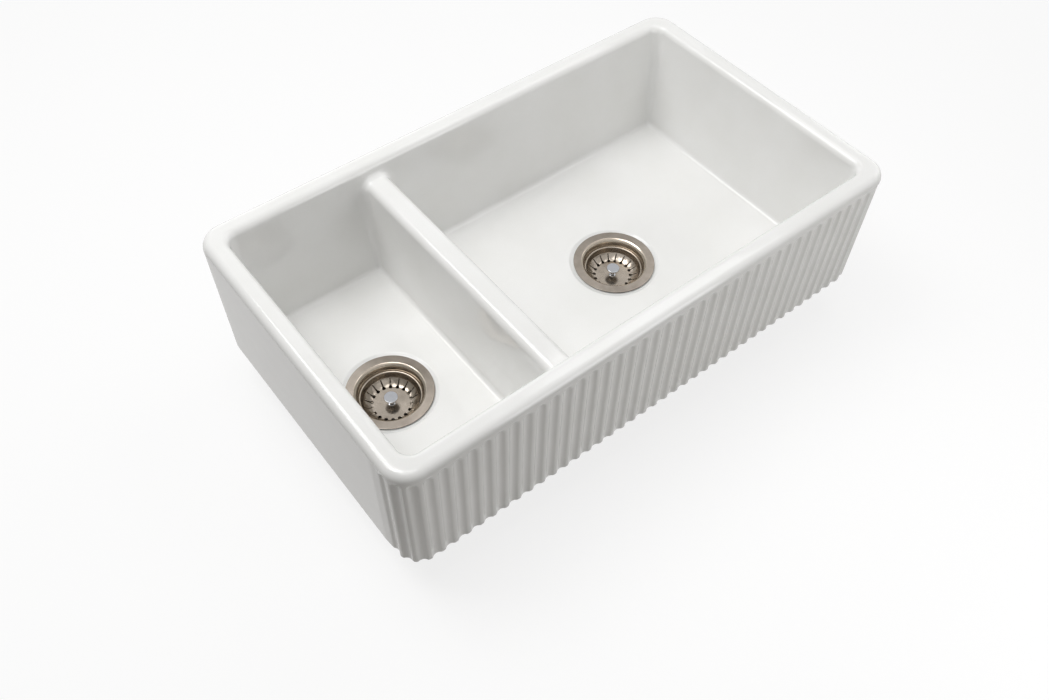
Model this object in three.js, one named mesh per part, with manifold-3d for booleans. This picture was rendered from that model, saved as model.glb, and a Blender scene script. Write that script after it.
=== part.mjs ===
// Farmhouse apron front sink: a fireclay double-bowl sink with a fluted apron, and in each bowl a
// stainless basket strainer with its waste below.
// Millimetres. +X runs right along the front, +Y to the back, +Z up. The underside of the sink is
// z = 0, and the middle of the underside is the origin.
import * as THREE from 'three';
import { mergeVertices } from 'three/examples/jsm/utils/BufferGeometryUtils.js';
import Module from 'manifold-3d';

const wasm = await Module();
wasm.setup();

// ---------------------------------------------------------------- driving dimensions

const seatGap = 0.3; // between two pieces that touch
const flatnessTolerance = 0.01;
const quarterTurn = Math.PI / 2;

// Fireclay body
const sinkWidth = 800;
const sinkDepth = 464;
const sinkHeight = 202;
const outerCornerRadius = 34;
const rimWidth = 29.2; // at the top edge, all round
const rimOuterRounding = 11.5;
const rimInnerRounding = 10;
const baseRounding = 3;

// Bowls
const floorThickness = 26; // at the foot of the walls
const floorFall = 2.5; // from the foot of the walls to the drain
const floorFillet = 7;
const rimCornerRadius = 17; // upright corners of the bowls, at the rim
const floorCornerRadius = 7;
const endWallDraft = 9; // how far each end wall leans in from rim to floor
const frontWallDraft = 11;
const backWallDraft = 17;

// Divider between the small bowl on the left and the large one on the right
const dividerX = -150.8;
const dividerThickness = 35.5; // just below its rounded top
const dividerDrop = 20; // its top lies this far below the rim
const dividerShoulder = 11;
const dividerEndFillet = 8;
const dividerDraft = 1.2;

// Fluted apron
const flutePitch = 19.4;
const fluteWidth = 13;
const fluteDepth = 4.5;
const fluteTopDrop = 17.5; // arch top below the rim
const fluteRowShift = 6.4; // the middle flute lies this far right of the middle
const frontFluteCount = 39;
const leftCornerFluteCount = 3;
const rightCornerFluteCount = 2;

// Drain holes and their recesses
const drainHoleRadius = 45;
const drainHoleEdge = 2; // bevel round the top of the hole
const recessMargin = 4.5; // round the flange
const recessDepth = 2;
// from the middle of the bowl's length and of the sink's depth
const smallDrainOffset = { x: -11.2, y: -7.2 };
const largeDrainOffset = { x: -8, y: -13.6 };

// Strainer cup, pressed from stainless sheet
const flangeInnerRadius = 48.5;
const flangeWidth = 11.5;
const cupSheet = 0.9;
const cupWallRadius = 43.4; // inside
const cupFootRadius = 39.5; // inside, where the wall meets the seat
const cupWallDepth = 14; // straight part below the flange
const cupSeatDepth = 36;
const cupSeatRadius = 17; // outer radius of the drain openings
const cupHubDrop = 5.6; // hub below the seat
const cupHubRadius = 10;
const drainArmCount = 4;
const drainArmWidth = 5;

// Seals
const sealThickness = 1.5;
const gasketThickness = 3;
const gasketSeatDepth = 1.5; // shallow seat ground into the underside round each drain hole
const gasketSeatMargin = 4; // round the housing's flange

// Lift-out basket
const basketSheet = 0.8;
const basketRimRadius = 42.8;
const basketRimDepth = 12.4; // below the flange, as the depths that follow
const basketRimBead = 1.1;
const basketBandRadius = 40.6;
const basketBandDepth = 18.6;
const basketFloorRadius = 27;
const basketFloorDepth = 28.8;
const slotCount = 18;
const slotEyeRadius = 1.9;
const slotWidth = 1.2;
const slotInnerRadius = 25;
const slotOuterRadius = 38.2;

// Knob and stem
const knobRadius = 9.6;
const knobThickness = 2.4;
const knobHeight = 15.3; // top above the basket floor
const stemRadius = 3;
const collarRadius = 5.2;
const collarHeight = 1.4;
const stemTipRadius = 2.4;

// Rubber plug under the basket
const plugHubRadius = 12;
const plugLipRadius = 23;
const plugLipThickness = 3;
const retainerRadius = 5.5; // across the corners
const retainerThickness = 2;

// Clamping screw and the housing under the sink
const screwHeadRadius = 8.5;
const screwHeadThickness = 2.4;
const screwBodyRadius = 6;
const screwBodyLength = 15;
const screwThreadRadius = 4;
const screwThreadLength = 13;
const screwSocketRadius = 4.2;
const clipThickness = 1.2;
const clipHeight = 4;
const insertWall = 2.7;
const insertHeight = 11;
const housingWall = 3;
const housingLip = 9; // how far the flange reaches past the drain hole
const housingFlangeThickness = 5;
const housingShoulderDrop = 18; // below the gasket
const housingConeDrop = 27;
const spigotRadius = 23.9; // 1 1/2 inch outlet thread, over its crests
const spigotLength = 27;
const webArmCount = 3;
const webArmWidth = 4;

// Faces round a whole turn
const slottedSides = 36; // a multiple of the slot count
const fineSides = 24;
const coarseSides = 20;
const smallSides = 12;
const fluteSides = 14;

// ---------------------------------------------------------------- places that follow

const rimTop = sinkHeight;
const floorEdgeZ = floorThickness;
const floorDrainZ = floorThickness - floorFall;
const recessZ = floorDrainZ - recessDepth;
const dividerTop = rimTop - dividerDrop;
const bowlTop = dividerTop + dividerEndFillet;
const smallBowlMiddle = (-sinkWidth / 2 + rimWidth + dividerX - dividerThickness / 2) / 2;
const largeBowlMiddle = (sinkWidth / 2 - rimWidth + dividerX + dividerThickness / 2) / 2;
const drains = {
  small: { x: smallBowlMiddle + smallDrainOffset.x, y: smallDrainOffset.y },
  large: { x: largeBowlMiddle + largeDrainOffset.x, y: largeDrainOffset.y },
};
const flangeRadius = flangeInnerRadius + flangeWidth;
const recessRadius = flangeRadius + recessMargin;
const flangeUnderside = recessZ + sealThickness + 2 * seatGap;
const flangeTop = flangeUnderside + cupSheet;
const cupSeatZ = flangeTop - cupSeatDepth;
const cupHubZ = cupSeatZ - cupHubDrop;
const basketFloorZ = flangeTop - basketFloorDepth;
const plugTopZ = basketFloorZ - basketSheet - seatGap;
const plugBottomZ = cupSeatZ + seatGap;
const retainerTopZ = plugBottomZ - seatGap;
const screwHeadTopZ = cupHubZ + seatGap + screwHeadThickness;
const screwBodyEndZ = screwHeadTopZ - screwHeadThickness - screwBodyLength;
const screwTipZ = screwBodyEndZ - screwThreadLength;
const stemTipZ = screwHeadTopZ - screwBodyLength + clipHeight;
const housingFlangeRadius = drainHoleRadius + housingLip;
const gasketTopZ = gasketSeatDepth - seatGap;
const housingTopZ = gasketTopZ - gasketThickness - seatGap;
const housingConeTopZ = housingTopZ - housingShoulderDrop;
const housingConeFootZ = housingConeTopZ - housingConeDrop;
const outletZ = housingConeFootZ - spigotLength;

// ---------------------------------------------------------------- solids

/** A closed three.js geometry as a solid that can be cut and joined. */
function solid(geometry) {
  const bare = geometry.clone();
  bare.deleteAttribute('normal');
  bare.deleteAttribute('uv');
  const merged = mergeVertices(bare, 1e-4);
  return new wasm.Manifold(new wasm.Mesh({
    numProp: 3,
    vertProperties: new Float32Array(merged.attributes.position.array),
    triVerts: new Uint32Array(merged.index.array),
  }));
}

/** A solid as a named mesh, with faces that lie in one plane merged. */
function meshOf(name, body, material) {
  const data = body.simplify(flatnessTolerance).getMesh();
  const geometry = new THREE.BufferGeometry();
  geometry.setAttribute('position', new THREE.BufferAttribute(data.vertProperties, 3));
  geometry.setIndex(new THREE.BufferAttribute(data.triVerts, 1));
  geometry.computeVertexNormals();
  const mesh = new THREE.Mesh(geometry, material());
  mesh.name = name;
  return mesh;
}

function joined(solids) {
  return solids.reduce((whole, piece) => whole.add(piece));
}

/** A body turned about the Z axis, from a closed outline of [radius, height] points. */
function turned(outline, sides) {
  const points = outline.map(([radius, height]) => new THREE.Vector2(radius, height));
  const geometry = new THREE.LatheGeometry(points, sides);
  geometry.rotateX(quarterTurn);
  return solid(geometry);
}

/** Points on an arc of the [radius, height] plane, both ends included, angles in quarter turns. */
function arc(centreRadius, centreHeight, radius, from, to, steps) {
  return Array.from({ length: steps + 1 }, (_, i) => {
    const angle = (from + ((to - from) * i) / steps) * quarterTurn;
    return [centreRadius + radius * Math.cos(angle), centreHeight + radius * Math.sin(angle)];
  });
}

function boxSolid(sizeX, sizeY, sizeZ, x, y, z) {
  const geometry = new THREE.BoxGeometry(sizeX, sizeY, sizeZ);
  geometry.translate(x, y, z);
  return solid(geometry);
}

function rotatedCopies(body, count) {
  return joined(Array.from({ length: count }, (_, i) => body.rotate([0, 0, (360 * i) / count])));
}

// ---------------------------------------------------------------- lofts

const cornerSteps = 4;

/** Where the points of a rounded rectangle lie: four corner arcs, with shares of the sides between. */
function stations(sideShares) {
  return [0, 1, 2, 3].flatMap((corner) => [
    ...Array.from({ length: cornerSteps + 1 }, (_, i) => ({ corner, turn: i / cornerSteps })),
    ...sideShares[corner].map((share) => ({ corner, share })),
  ]);
}

/** One point of a rounded rectangle, counter-clockwise from the front right corner. */
function placeOn(rect, { corner, turn, share }) {
  if (share !== undefined) {
    const start = placeOn(rect, { corner, turn: 1 });
    const end = placeOn(rect, { corner: (corner + 1) % 4, turn: 0 });
    return start.lerp(end, share);
  }
  const x = corner < 2 ? rect.xMax - rect.radius : rect.xMin + rect.radius;
  const y = corner === 1 || corner === 2 ? rect.yMax - rect.radius : rect.yMin + rect.radius;
  const angle = (corner - 1 + turn) * quarterTurn;
  return new THREE.Vector2(x + rect.radius * Math.cos(angle), y + rect.radius * Math.sin(angle));
}

function rectRing(rect, z, places) {
  return places.map((place) => {
    const point = placeOn(rect, place);
    return new THREE.Vector3(point.x, point.y, z);
  });
}

/** A circle whose points lie at the same angles as a ring's, seen from the centre. */
function circleRing(ring, centre, radius, z) {
  return ring.map((point) => {
    const angle = Math.atan2(point.y - centre.y, point.x - centre.x);
    return new THREE.Vector3(centre.x + radius * Math.cos(angle), centre.y + radius * Math.sin(angle), z);
  });
}

/** A closed skin through rings of equal count, listed from the bottom up. */
function loft(rings) {
  const count = rings[0].length;
  const positions = rings.flat().flatMap((point) => [point.x, point.y, point.z]);
  const faces = THREE.ShapeUtils.triangulateShape(rings[0], []);
  const topFaces = THREE.ShapeUtils.triangulateShape(rings.at(-1), []);
  const topStart = (rings.length - 1) * count;
  const index = [];
  faces.forEach(([a, b, c]) => index.push(a, c, b));
  topFaces.forEach(([a, b, c]) => index.push(topStart + a, topStart + b, topStart + c));
  for (let level = 0; level < rings.length - 1; level += 1) {
    for (let i = 0; i < count; i += 1) {
      const low = level * count + i;
      const lowNext = level * count + ((i + 1) % count);
      index.push(low, lowNext, lowNext + count);
      index.push(low, lowNext + count, low + count);
    }
  }
  const geometry = new THREE.BufferGeometry();
  geometry.setAttribute('position', new THREE.Float32BufferAttribute(positions, 3));
  geometry.setIndex(index);
  return solid(geometry);
}

function inset(rect, amount) {
  return {
    xMin: rect.xMin + amount,
    xMax: rect.xMax - amount,
    yMin: rect.yMin + amount,
    yMax: rect.yMax - amount,
    radius: Math.max(rect.radius - amount, 1),
  };
}

/** The same, with the corners' radius kept. */
function narrowed(rect, amount) {
  return { ...inset(rect, amount), radius: rect.radius };
}

/** Steps of a quarter circle: how far along and how far in, from its start to its end. */
function quarterSteps(radius, steps) {
  return Array.from({ length: steps + 1 }, (_, i) => {
    const angle = (quarterTurn * i) / steps;
    return { along: radius * Math.sin(angle), in: radius * (1 - Math.cos(angle)) };
  });
}

// ---------------------------------------------------------------- fireclay body

const noShares = [[], [], [], []];

/** The outside of the sink: a block with rounded corners, a rounded rim and a softened base. */
function outerBlock() {
  const full = {
    xMin: -sinkWidth / 2,
    xMax: sinkWidth / 2,
    yMin: -sinkDepth / 2,
    yMax: sinkDepth / 2,
    radius: outerCornerRadius,
  };
  const places = stations(noShares);
  const base = quarterSteps(baseRounding, 1).reverse();
  const rim = quarterSteps(rimOuterRounding, 5);
  return loft([
    ...base.map((step) => rectRing(inset(full, step.in), baseRounding - step.along, places)),
    ...rim.map((step) => rectRing(inset(full, step.in), rimTop - rimOuterRounding + step.along, places)),
  ]);
}

/** The inside walls of the whole sink at a height, leaning in towards the floor. */
function innerWalls(z) {
  const down = (rimTop - z) / (rimTop - floorEdgeZ);
  return {
    xMin: -sinkWidth / 2 + rimWidth + endWallDraft * down,
    xMax: sinkWidth / 2 - rimWidth - endWallDraft * down,
    yMin: -sinkDepth / 2 + rimWidth + frontWallDraft * down,
    yMax: sinkDepth / 2 - rimWidth - backWallDraft * down,
    radius: rimCornerRadius + (floorCornerRadius - rimCornerRadius) * down,
  };
}

/** Half the divider's thickness at a height, with its rounded shoulder. */
function dividerHalf(z) {
  const shoulderZ = dividerTop - dividerShoulder;
  if (z > shoulderZ) {
    const rise = Math.min((z - shoulderZ) / dividerShoulder, 1);
    return dividerThickness / 2 - dividerShoulder * (1 - Math.sqrt(1 - rise * rise));
  }
  return dividerThickness / 2 + (dividerDraft * (shoulderZ - z)) / (shoulderZ - floorEdgeZ);
}

function bowlWalls(side, z) {
  const walls = innerWalls(z);
  if (side === 'small') walls.xMax = dividerX - dividerHalf(z);
  else walls.xMin = dividerX + dividerHalf(z);
  return walls;
}

/** Shares that split each side into even angles, seen from the drain. */
function evenAngleShares(rect, centre, step) {
  return [0, 1, 2, 3].map((corner) => {
    const start = placeOn(rect, { corner, turn: 1 });
    const end = placeOn(rect, { corner: (corner + 1) % 4, turn: 0 });
    const upright = corner % 2 === 0;
    const reach = upright ? start.x - centre.x : start.y - centre.y;
    const from = Math.atan((upright ? start.y - centre.y : start.x - centre.x) / Math.abs(reach));
    const to = Math.atan((upright ? end.y - centre.y : end.x - centre.x) / Math.abs(reach));
    const count = Math.ceil(Math.abs(to - from) / step);
    const span = Math.tan(to) - Math.tan(from);
    return Array.from({ length: count - 1 }, (_, i) => {
      const angle = from + ((to - from) * (i + 1)) / count;
      return (Math.tan(angle) - Math.tan(from)) / span;
    });
  });
}

/** A bowl's hollow, from the open top through the drain hole. */
function bowlHollow(side) {
  const drain = drains[side];
  const wallFoot = bowlWalls(side, floorEdgeZ + floorFillet);
  const foot = narrowed(wallFoot, floorFillet);
  const places = stations(evenAngleShares(foot, drain, Math.PI / 12));
  const footRing = rectRing(foot, floorEdgeZ, places);
  const fillet = quarterSteps(floorFillet, 2).reverse().slice(1);
  const shoulder = quarterSteps(dividerShoulder, 4);
  const filletRings = fillet.map((step) => (
    rectRing(narrowed(wallFoot, step.in), floorEdgeZ + floorFillet - step.along, places)
  ));
  const wallRings = shoulder.map((step) => {
    const z = dividerTop - dividerShoulder + step.along;
    return rectRing(bowlWalls(side, z), z, places);
  });
  return loft([
    circleRing(footRing, drain, drainHoleRadius, -1),
    circleRing(footRing, drain, drainHoleRadius, recessZ - drainHoleEdge),
    circleRing(footRing, drain, drainHoleRadius + drainHoleEdge, recessZ),
    circleRing(footRing, drain, recessRadius, recessZ),
    circleRing(footRing, drain, recessRadius + 1, floorDrainZ),
    footRing,
    ...filletRings,
    ...wallRings,
    rectRing(bowlWalls(side, bowlTop), bowlTop, places),
  ]);
}

/** The one opening above the divider, rounded into the rim and filleted into the divider's ends. */
function topOpening() {
  const places = stations(noShares);
  const fillet = quarterSteps(dividerEndFillet, 3).reverse();
  const flare = quarterSteps(rimInnerRounding, 4);
  const flareRings = flare.map((step) => {
    const z = rimTop - rimInnerRounding + step.along;
    const rect = inset(innerWalls(rimTop - rimInnerRounding), -step.in);
    return rectRing(rect, z, places);
  });
  const filletRings = fillet.map((step) => (
    rectRing(narrowed(innerWalls(bowlTop), step.in), bowlTop - step.along, places)
  ));
  const above = flareRings.at(-1).map((point) => new THREE.Vector3(point.x, point.y, rimTop + 1));
  return loft([...filletRings, ...flareRings, above]);
}

/** A point of the outer wall at a distance along it, from the middle of the front to the right. */
function apronPoint(distance) {
  const side = Math.sign(distance) || 1;
  const straight = sinkWidth / 2 - outerCornerRadius;
  const arcLength = outerCornerRadius * quarterTurn;
  const run = Math.abs(distance);
  const pastStraight = Math.min(Math.max(run - straight, 0), arcLength);
  const angle = pastStraight / outerCornerRadius;
  const pastArc = Math.max(run - straight - arcLength, 0);
  const normal = new THREE.Vector2(side * Math.sin(angle), -Math.cos(angle));
  const centre = new THREE.Vector2(
    side * Math.min(run, straight),
    -sinkDepth / 2 + outerCornerRadius + pastArc,
  );
  return { point: centre.addScaledVector(normal, outerCornerRadius), normal };
}

/** One flute's cutter: a round bar with a domed top, so that the flute ends in a round arch. */
function fluteCutter() {
  const half = fluteWidth / 2;
  const radius = (half * half + fluteDepth * fluteDepth) / (2 * fluteDepth);
  const domeZ = rimTop - fluteTopDrop - half;
  const outline = [[0, -1], [radius, -1], ...arc(0, domeZ, radius, 0, 1, 2)];
  outline.at(-1)[0] = 0;
  return { body: turned(outline, fluteSides), standOff: radius - fluteDepth };
}

function flutes() {
  const { body, standOff } = fluteCutter();
  const firstFlute = -(frontFluteCount - 1) / 2 - leftCornerFluteCount;
  const count = frontFluteCount + leftCornerFluteCount + rightCornerFluteCount;
  const cutters = Array.from({ length: count }, (_, i) => {
    const { point, normal } = apronPoint(fluteRowShift + (firstFlute + i) * flutePitch);
    const turn = THREE.MathUtils.radToDeg(Math.atan2(normal.y, normal.x));
    return body.rotate([0, 0, turn]).translate([
      point.x + standOff * normal.x,
      point.y + standOff * normal.y,
      0,
    ]);
  });
  return wasm.Manifold.union(cutters);
}

/** The shallow seats for the gaskets, in the underside. */
function gasketSeats() {
  const seat = turned([
    [0, -1],
    [housingFlangeRadius + gasketSeatMargin, -1],
    [housingFlangeRadius + gasketSeatMargin, gasketSeatDepth],
    [0, gasketSeatDepth],
  ], fineSides);
  return joined(Object.values(drains).map(({ x, y }) => seat.translate([x, y, 0])));
}

function sinkBody() {
  return outerBlock()
    .subtract(topOpening().add(bowlHollow('small')).add(bowlHollow('large')))
    .subtract(gasketSeats())
    .subtract(flutes());
}

// ---------------------------------------------------------------- strainer and waste
// Each is modelled on the drain's axis and moved to its bowl at the end.

function ring(innerRadius, outerRadius, bottomZ, height, sides) {
  return turned([
    [innerRadius, bottomZ],
    [outerRadius, bottomZ],
    [outerRadius, bottomZ + height],
    [innerRadius, bottomZ + height],
    [innerRadius, bottomZ],
  ], sides);
}

/** Pressed cup with a flat flange, a rolled inner edge, a seat for the plug and a dropped hub. */
function strainerCup() {
  const roll = flangeInnerRadius - cupWallRadius;
  const wallFootZ = flangeTop - cupWallDepth;
  const seatZ = cupSeatZ;
  const footRound = 4;
  const inside = [
    ...arc(flangeInnerRadius, flangeTop - roll, roll, 1, 2, 2),
    [cupWallRadius, wallFootZ],
    ...arc(cupFootRadius - footRound, seatZ + footRound, footRound, 0, -1, 2),
    [cupSeatRadius + 3, seatZ],
    [cupSeatRadius, cupHubZ],
    [screwBodyRadius + seatGap, cupHubZ],
  ];
  const outside = [
    [screwBodyRadius + seatGap, cupHubZ - cupSheet],
    [cupSeatRadius + cupSheet, cupHubZ - cupSheet],
    [cupSeatRadius + 3 + cupSheet, seatZ - cupSheet],
    ...arc(cupFootRadius - footRound, seatZ + footRound, footRound + cupSheet, -1, 0, 2),
    [cupWallRadius + cupSheet, wallFootZ],
    ...arc(flangeInnerRadius, flangeTop - roll, roll - cupSheet, 2, 1, 2),
    [flangeRadius, flangeUnderside],
    [flangeRadius - cupSheet / 2, flangeTop],
  ];
  const shell = turned([...inside, ...outside, inside[0]], fineSides);
  const opening = ring(cupHubRadius, cupSeatRadius - 1, cupHubZ - 2 * cupSheet, 3 * cupSheet, coarseSides);
  const arms = rotatedCopies(
    boxSolid(cupSeatRadius, drainArmWidth, 4 * cupSheet, cupSeatRadius / 2, 0, cupHubZ - cupSheet / 2),
    drainArmCount,
  );
  return shell.subtract(opening.subtract(arms));
}

/** Pressed basket with a beaded rim and radial slots that end in round eyes. */
function basket() {
  const rimZ = flangeTop - basketRimDepth;
  const bandFootZ = flangeTop - basketBandDepth;
  const inside = [
    [stemRadius + seatGap, basketFloorZ],
    [basketFloorRadius, basketFloorZ],
    [basketBandRadius - 4, bandFootZ - 4],
    [basketBandRadius - 1, bandFootZ],
    [basketRimRadius - basketRimBead - basketSheet, rimZ - basketRimBead],
    ...arc(basketRimRadius - basketRimBead, rimZ - basketRimBead, basketRimBead, 2, 0, 2).slice(1),
  ];
  const outside = [
    [basketRimRadius, rimZ - 2 * basketRimBead],
    [basketRimRadius - basketRimBead, rimZ - 2 * basketRimBead],
    [basketBandRadius, bandFootZ - basketSheet / 2],
    [basketBandRadius - 3, bandFootZ - 4 - basketSheet],
    [basketFloorRadius + basketSheet / 2, basketFloorZ - basketSheet],
    [stemRadius + seatGap, basketFloorZ - basketSheet],
  ];
  const shell = turned([...inside, ...outside, inside[0]].reverse(), slottedSides);
  const cutHeight = bandFootZ - basketFloorZ + 2;
  const cutMiddle = basketFloorZ + cutHeight / 2 - 2;
  const eye = turned([
    [0, basketFloorZ - 3],
    [slotEyeRadius, basketFloorZ - 3],
    [slotEyeRadius, basketFloorZ + 2],
    [0, basketFloorZ + 2],
  ], 6).translate([slotInnerRadius, 0, 0]);
  const slotLength = slotOuterRadius - slotInnerRadius;
  const slit = boxSolid(slotLength, slotWidth, cutHeight, slotInnerRadius + slotLength / 2, 0, cutMiddle);
  return shell.subtract(rotatedCopies(eye.add(slit), slotCount));
}

/** Knob, stem and collar, turned in one piece. */
function basketStem() {
  const knobTop = basketFloorZ + knobHeight;
  const edge = knobThickness / 2;
  const collarZ = basketFloorZ + seatGap;
  return turned([
    [0, stemTipZ],
    [stemTipRadius, stemTipZ],
    [stemTipRadius, retainerTopZ - retainerThickness],
    [stemRadius, retainerTopZ - retainerThickness],
    [stemRadius, collarZ],
    [collarRadius, collarZ],
    [collarRadius, collarZ + collarHeight],
    [stemRadius, collarZ + collarHeight + 1],
    [stemRadius, knobTop - knobThickness - 1],
    [stemRadius + 2, knobTop - knobThickness],
    ...arc(knobRadius - edge, knobTop - edge, edge, -1, 1, 3),
    [0, knobTop],
  ], smallSides);
}

/** Rubber plug: a hub under the basket with a lip that seals on the cup's seat. */
function basketPlug() {
  const bore = stemRadius + seatGap;
  const lipTop = plugBottomZ + plugLipThickness;
  return turned([
    [bore, plugBottomZ],
    [plugLipRadius - 1, plugBottomZ],
    [plugLipRadius, plugBottomZ + 1],
    [plugLipRadius, lipTop - 1],
    [plugHubRadius + 1, lipTop],
    [plugHubRadius, plugTopZ],
    [bore, plugTopZ],
    [bore, plugBottomZ],
  ], coarseSides);
}

/** Hexagonal nut that holds the plug up on the stem. */
function plugRetainer() {
  return ring(stemRadius + seatGap, retainerRadius, retainerTopZ - retainerThickness, retainerThickness, 6)
    .subtract(ring(0, stemRadius + seatGap, retainerTopZ - 2 * retainerThickness, 4, smallSides));
}

/** Split spring sleeve that grips the stem's tip in the screw's socket. */
function stemClip() {
  const inner = stemTipRadius + seatGap;
  const sleeve = ring(inner, inner + clipThickness, stemTipZ + seatGap, clipHeight, smallSides);
  return sleeve.subtract(boxSolid(6, 1.2, 3 * clipHeight, 3, 0, stemTipZ + clipHeight));
}

/** Hollow-headed screw that draws the cup and the housing together. */
function clampScrew() {
  const headBottom = screwHeadTopZ - screwHeadThickness;
  const socketEnd = screwHeadTopZ - screwBodyLength;
  return turned([
    [0, screwTipZ],
    [screwThreadRadius - 1, screwTipZ],
    [screwThreadRadius, screwTipZ + 1],
    [screwThreadRadius, screwBodyEndZ],
    [screwBodyRadius, screwBodyEndZ],
    [screwBodyRadius, headBottom],
    [screwHeadRadius, headBottom],
    [screwHeadRadius, screwHeadTopZ - 0.6],
    [screwHeadRadius - 0.6, screwHeadTopZ],
    [screwSocketRadius, screwHeadTopZ],
    [screwSocketRadius, socketEnd],
    [0, socketEnd - 1],
  ], smallSides);
}

/** Threaded brass insert in the hub of the housing's web. */
function housingInsert() {
  const bore = screwThreadRadius + seatGap;
  const top = screwBodyEndZ - seatGap;
  return ring(bore, bore + insertWall, top - insertHeight, insertHeight, smallSides);
}

/** Moulded housing: flange, shoulder, cone, threaded outlet, and the web that holds the insert. */
function wasteHousing() {
  const bodyRadius = drainHoleRadius + housingWall;
  const mouthRadius = drainHoleRadius;
  const boreRadius = spigotRadius - housingWall - 1;
  const flangeFootZ = housingTopZ - housingFlangeThickness;
  const shell = turned([
    [mouthRadius, housingTopZ],
    [bodyRadius - housingWall - 1, housingConeTopZ],
    [boreRadius, housingConeFootZ],
    [boreRadius, outletZ],
    [spigotRadius, outletZ],
    [spigotRadius, housingConeFootZ - housingWall],
    [bodyRadius - 1, housingConeTopZ - housingWall / 2],
    [bodyRadius, flangeFootZ],
    [housingFlangeRadius, flangeFootZ],
    [housingFlangeRadius, housingTopZ],
    [mouthRadius, housingTopZ],
  ], coarseSides);
  const pocketRadius = screwThreadRadius + insertWall + 2 * seatGap;
  const hubRadius = pocketRadius + housingWall;
  const hubTop = screwBodyEndZ - seatGap;
  const hubFoot = hubTop - insertHeight - housingWall;
  const reach = drainHoleRadius;
  const arm = boxSolid(reach, webArmWidth, insertHeight, reach / 2, 0, hubTop - insertHeight / 2);
  const hub = turned([[0, hubFoot], [hubRadius, hubFoot], [hubRadius, hubTop], [0, hubTop]], smallSides);
  const pocket = turned([
    [0, hubFoot - 1],
    [screwThreadRadius + seatGap, hubFoot - 1],
    [screwThreadRadius + seatGap, hubTop - insertHeight - seatGap],
    [pocketRadius, hubTop - insertHeight - seatGap],
    [pocketRadius, hubTop + 1],
    [0, hubTop + 1],
  ], smallSides);
  const inner = turned([
    [0, outletZ],
    [boreRadius + 1, outletZ],
    [boreRadius + 1, housingConeFootZ],
    [bodyRadius - housingWall, housingConeTopZ],
    [mouthRadius + 1, housingTopZ],
    [0, housingTopZ],
  ], coarseSides);
  const web = rotatedCopies(arm, webArmCount).add(hub).intersect(inner);
  return shell.add(web).subtract(pocket);
}

/** The seal lies under the flat of the flange. */
function flangeSeal() {
  const inner = flangeInnerRadius + 1;
  return ring(inner, flangeRadius - 1, recessZ + seatGap, sealThickness, coarseSides);
}

function undersideGasket() {
  const bottom = gasketTopZ - gasketThickness;
  return ring(drainHoleRadius + 1, housingFlangeRadius, bottom, gasketThickness, coarseSides);
}

// ---------------------------------------------------------------- materials

function standard(color, roughness, metalness) {
  return () => new THREE.MeshStandardMaterial({ color, roughness, metalness });
}

const whiteGlaze = standard('#f1f0ec', 0.12, 0);
const satinSteel = standard('#b4aaa0', 0.32, 1);
const polishedSteel = standard('#c4bdb4', 0.12, 1);
const chrome = standard('#d5d8dc', 0.06, 1);
const plainSteel = standard('#a9a9a8', 0.35, 1);
const blackRubber = standard('#1f1f1f', 0.75, 0);
const whitePlastic = standard('#e3e2dd', 0.45, 0);
const brass = standard('#b79a55', 0.35, 1);

// ---------------------------------------------------------------- assembly

const strainerPieces = [
  ['strainer_cup', strainerCup(), satinSteel],
  ['flange_seal', flangeSeal(), blackRubber],
  ['underside_gasket', undersideGasket(), blackRubber],
  ['waste_housing', wasteHousing(), whitePlastic],
  ['housing_insert', housingInsert(), brass],
  ['clamp_screw', clampScrew(), plainSteel],
  ['basket', basket(), polishedSteel],
  ['basket_stem', basketStem(), chrome],
  ['basket_plug', basketPlug(), blackRubber],
  ['plug_retainer', plugRetainer(), plainSteel],
  ['stem_clip', stemClip(), plainSteel],
];

const sink = new THREE.Group();
sink.name = 'farmhouse_sink';
sink.add(meshOf('sink_body', sinkBody(), whiteGlaze));
for (const [side, drain] of Object.entries(drains)) {
  for (const [name, body, material] of strainerPieces) {
    sink.add(meshOf(`${side}_${name}`, body.translate([drain.x, drain.y, 0]), material));
  }
}

export default sink;
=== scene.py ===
"""Looks of a fireclay farmhouse sink with a fluted apron and two stainless basket strainers.

Everything is in metres in the frame's axes: +X right along the front, +Y back, +Z up, with z = 0 at
the sink's underside. Sizes are written in millimetres and multiplied by MM.
"""
import math

import bpy
import numpy as np
from mathutils import Matrix, Vector
from mathutils.geometry import delaunay_2d_cdt


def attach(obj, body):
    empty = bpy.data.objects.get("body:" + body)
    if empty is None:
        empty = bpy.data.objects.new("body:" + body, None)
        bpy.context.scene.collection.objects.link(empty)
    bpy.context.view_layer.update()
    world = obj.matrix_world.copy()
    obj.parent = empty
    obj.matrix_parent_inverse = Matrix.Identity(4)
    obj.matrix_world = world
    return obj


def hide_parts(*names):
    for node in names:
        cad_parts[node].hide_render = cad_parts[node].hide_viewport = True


MM = 0.001
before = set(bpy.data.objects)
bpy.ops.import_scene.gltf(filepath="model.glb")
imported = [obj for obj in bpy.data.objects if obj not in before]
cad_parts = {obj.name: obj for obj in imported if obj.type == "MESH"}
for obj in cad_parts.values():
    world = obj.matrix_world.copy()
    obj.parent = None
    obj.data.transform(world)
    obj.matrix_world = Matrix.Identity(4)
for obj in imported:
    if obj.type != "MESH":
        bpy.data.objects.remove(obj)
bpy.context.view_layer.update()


# ------------------------------------------------------------------------------------------------
# Camera
#
# The photograph was taken from above the left front corner, close to the sink, so its far end
# is drawn smaller. The place, the angles and the focal length were fitted to its straight edges.

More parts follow.
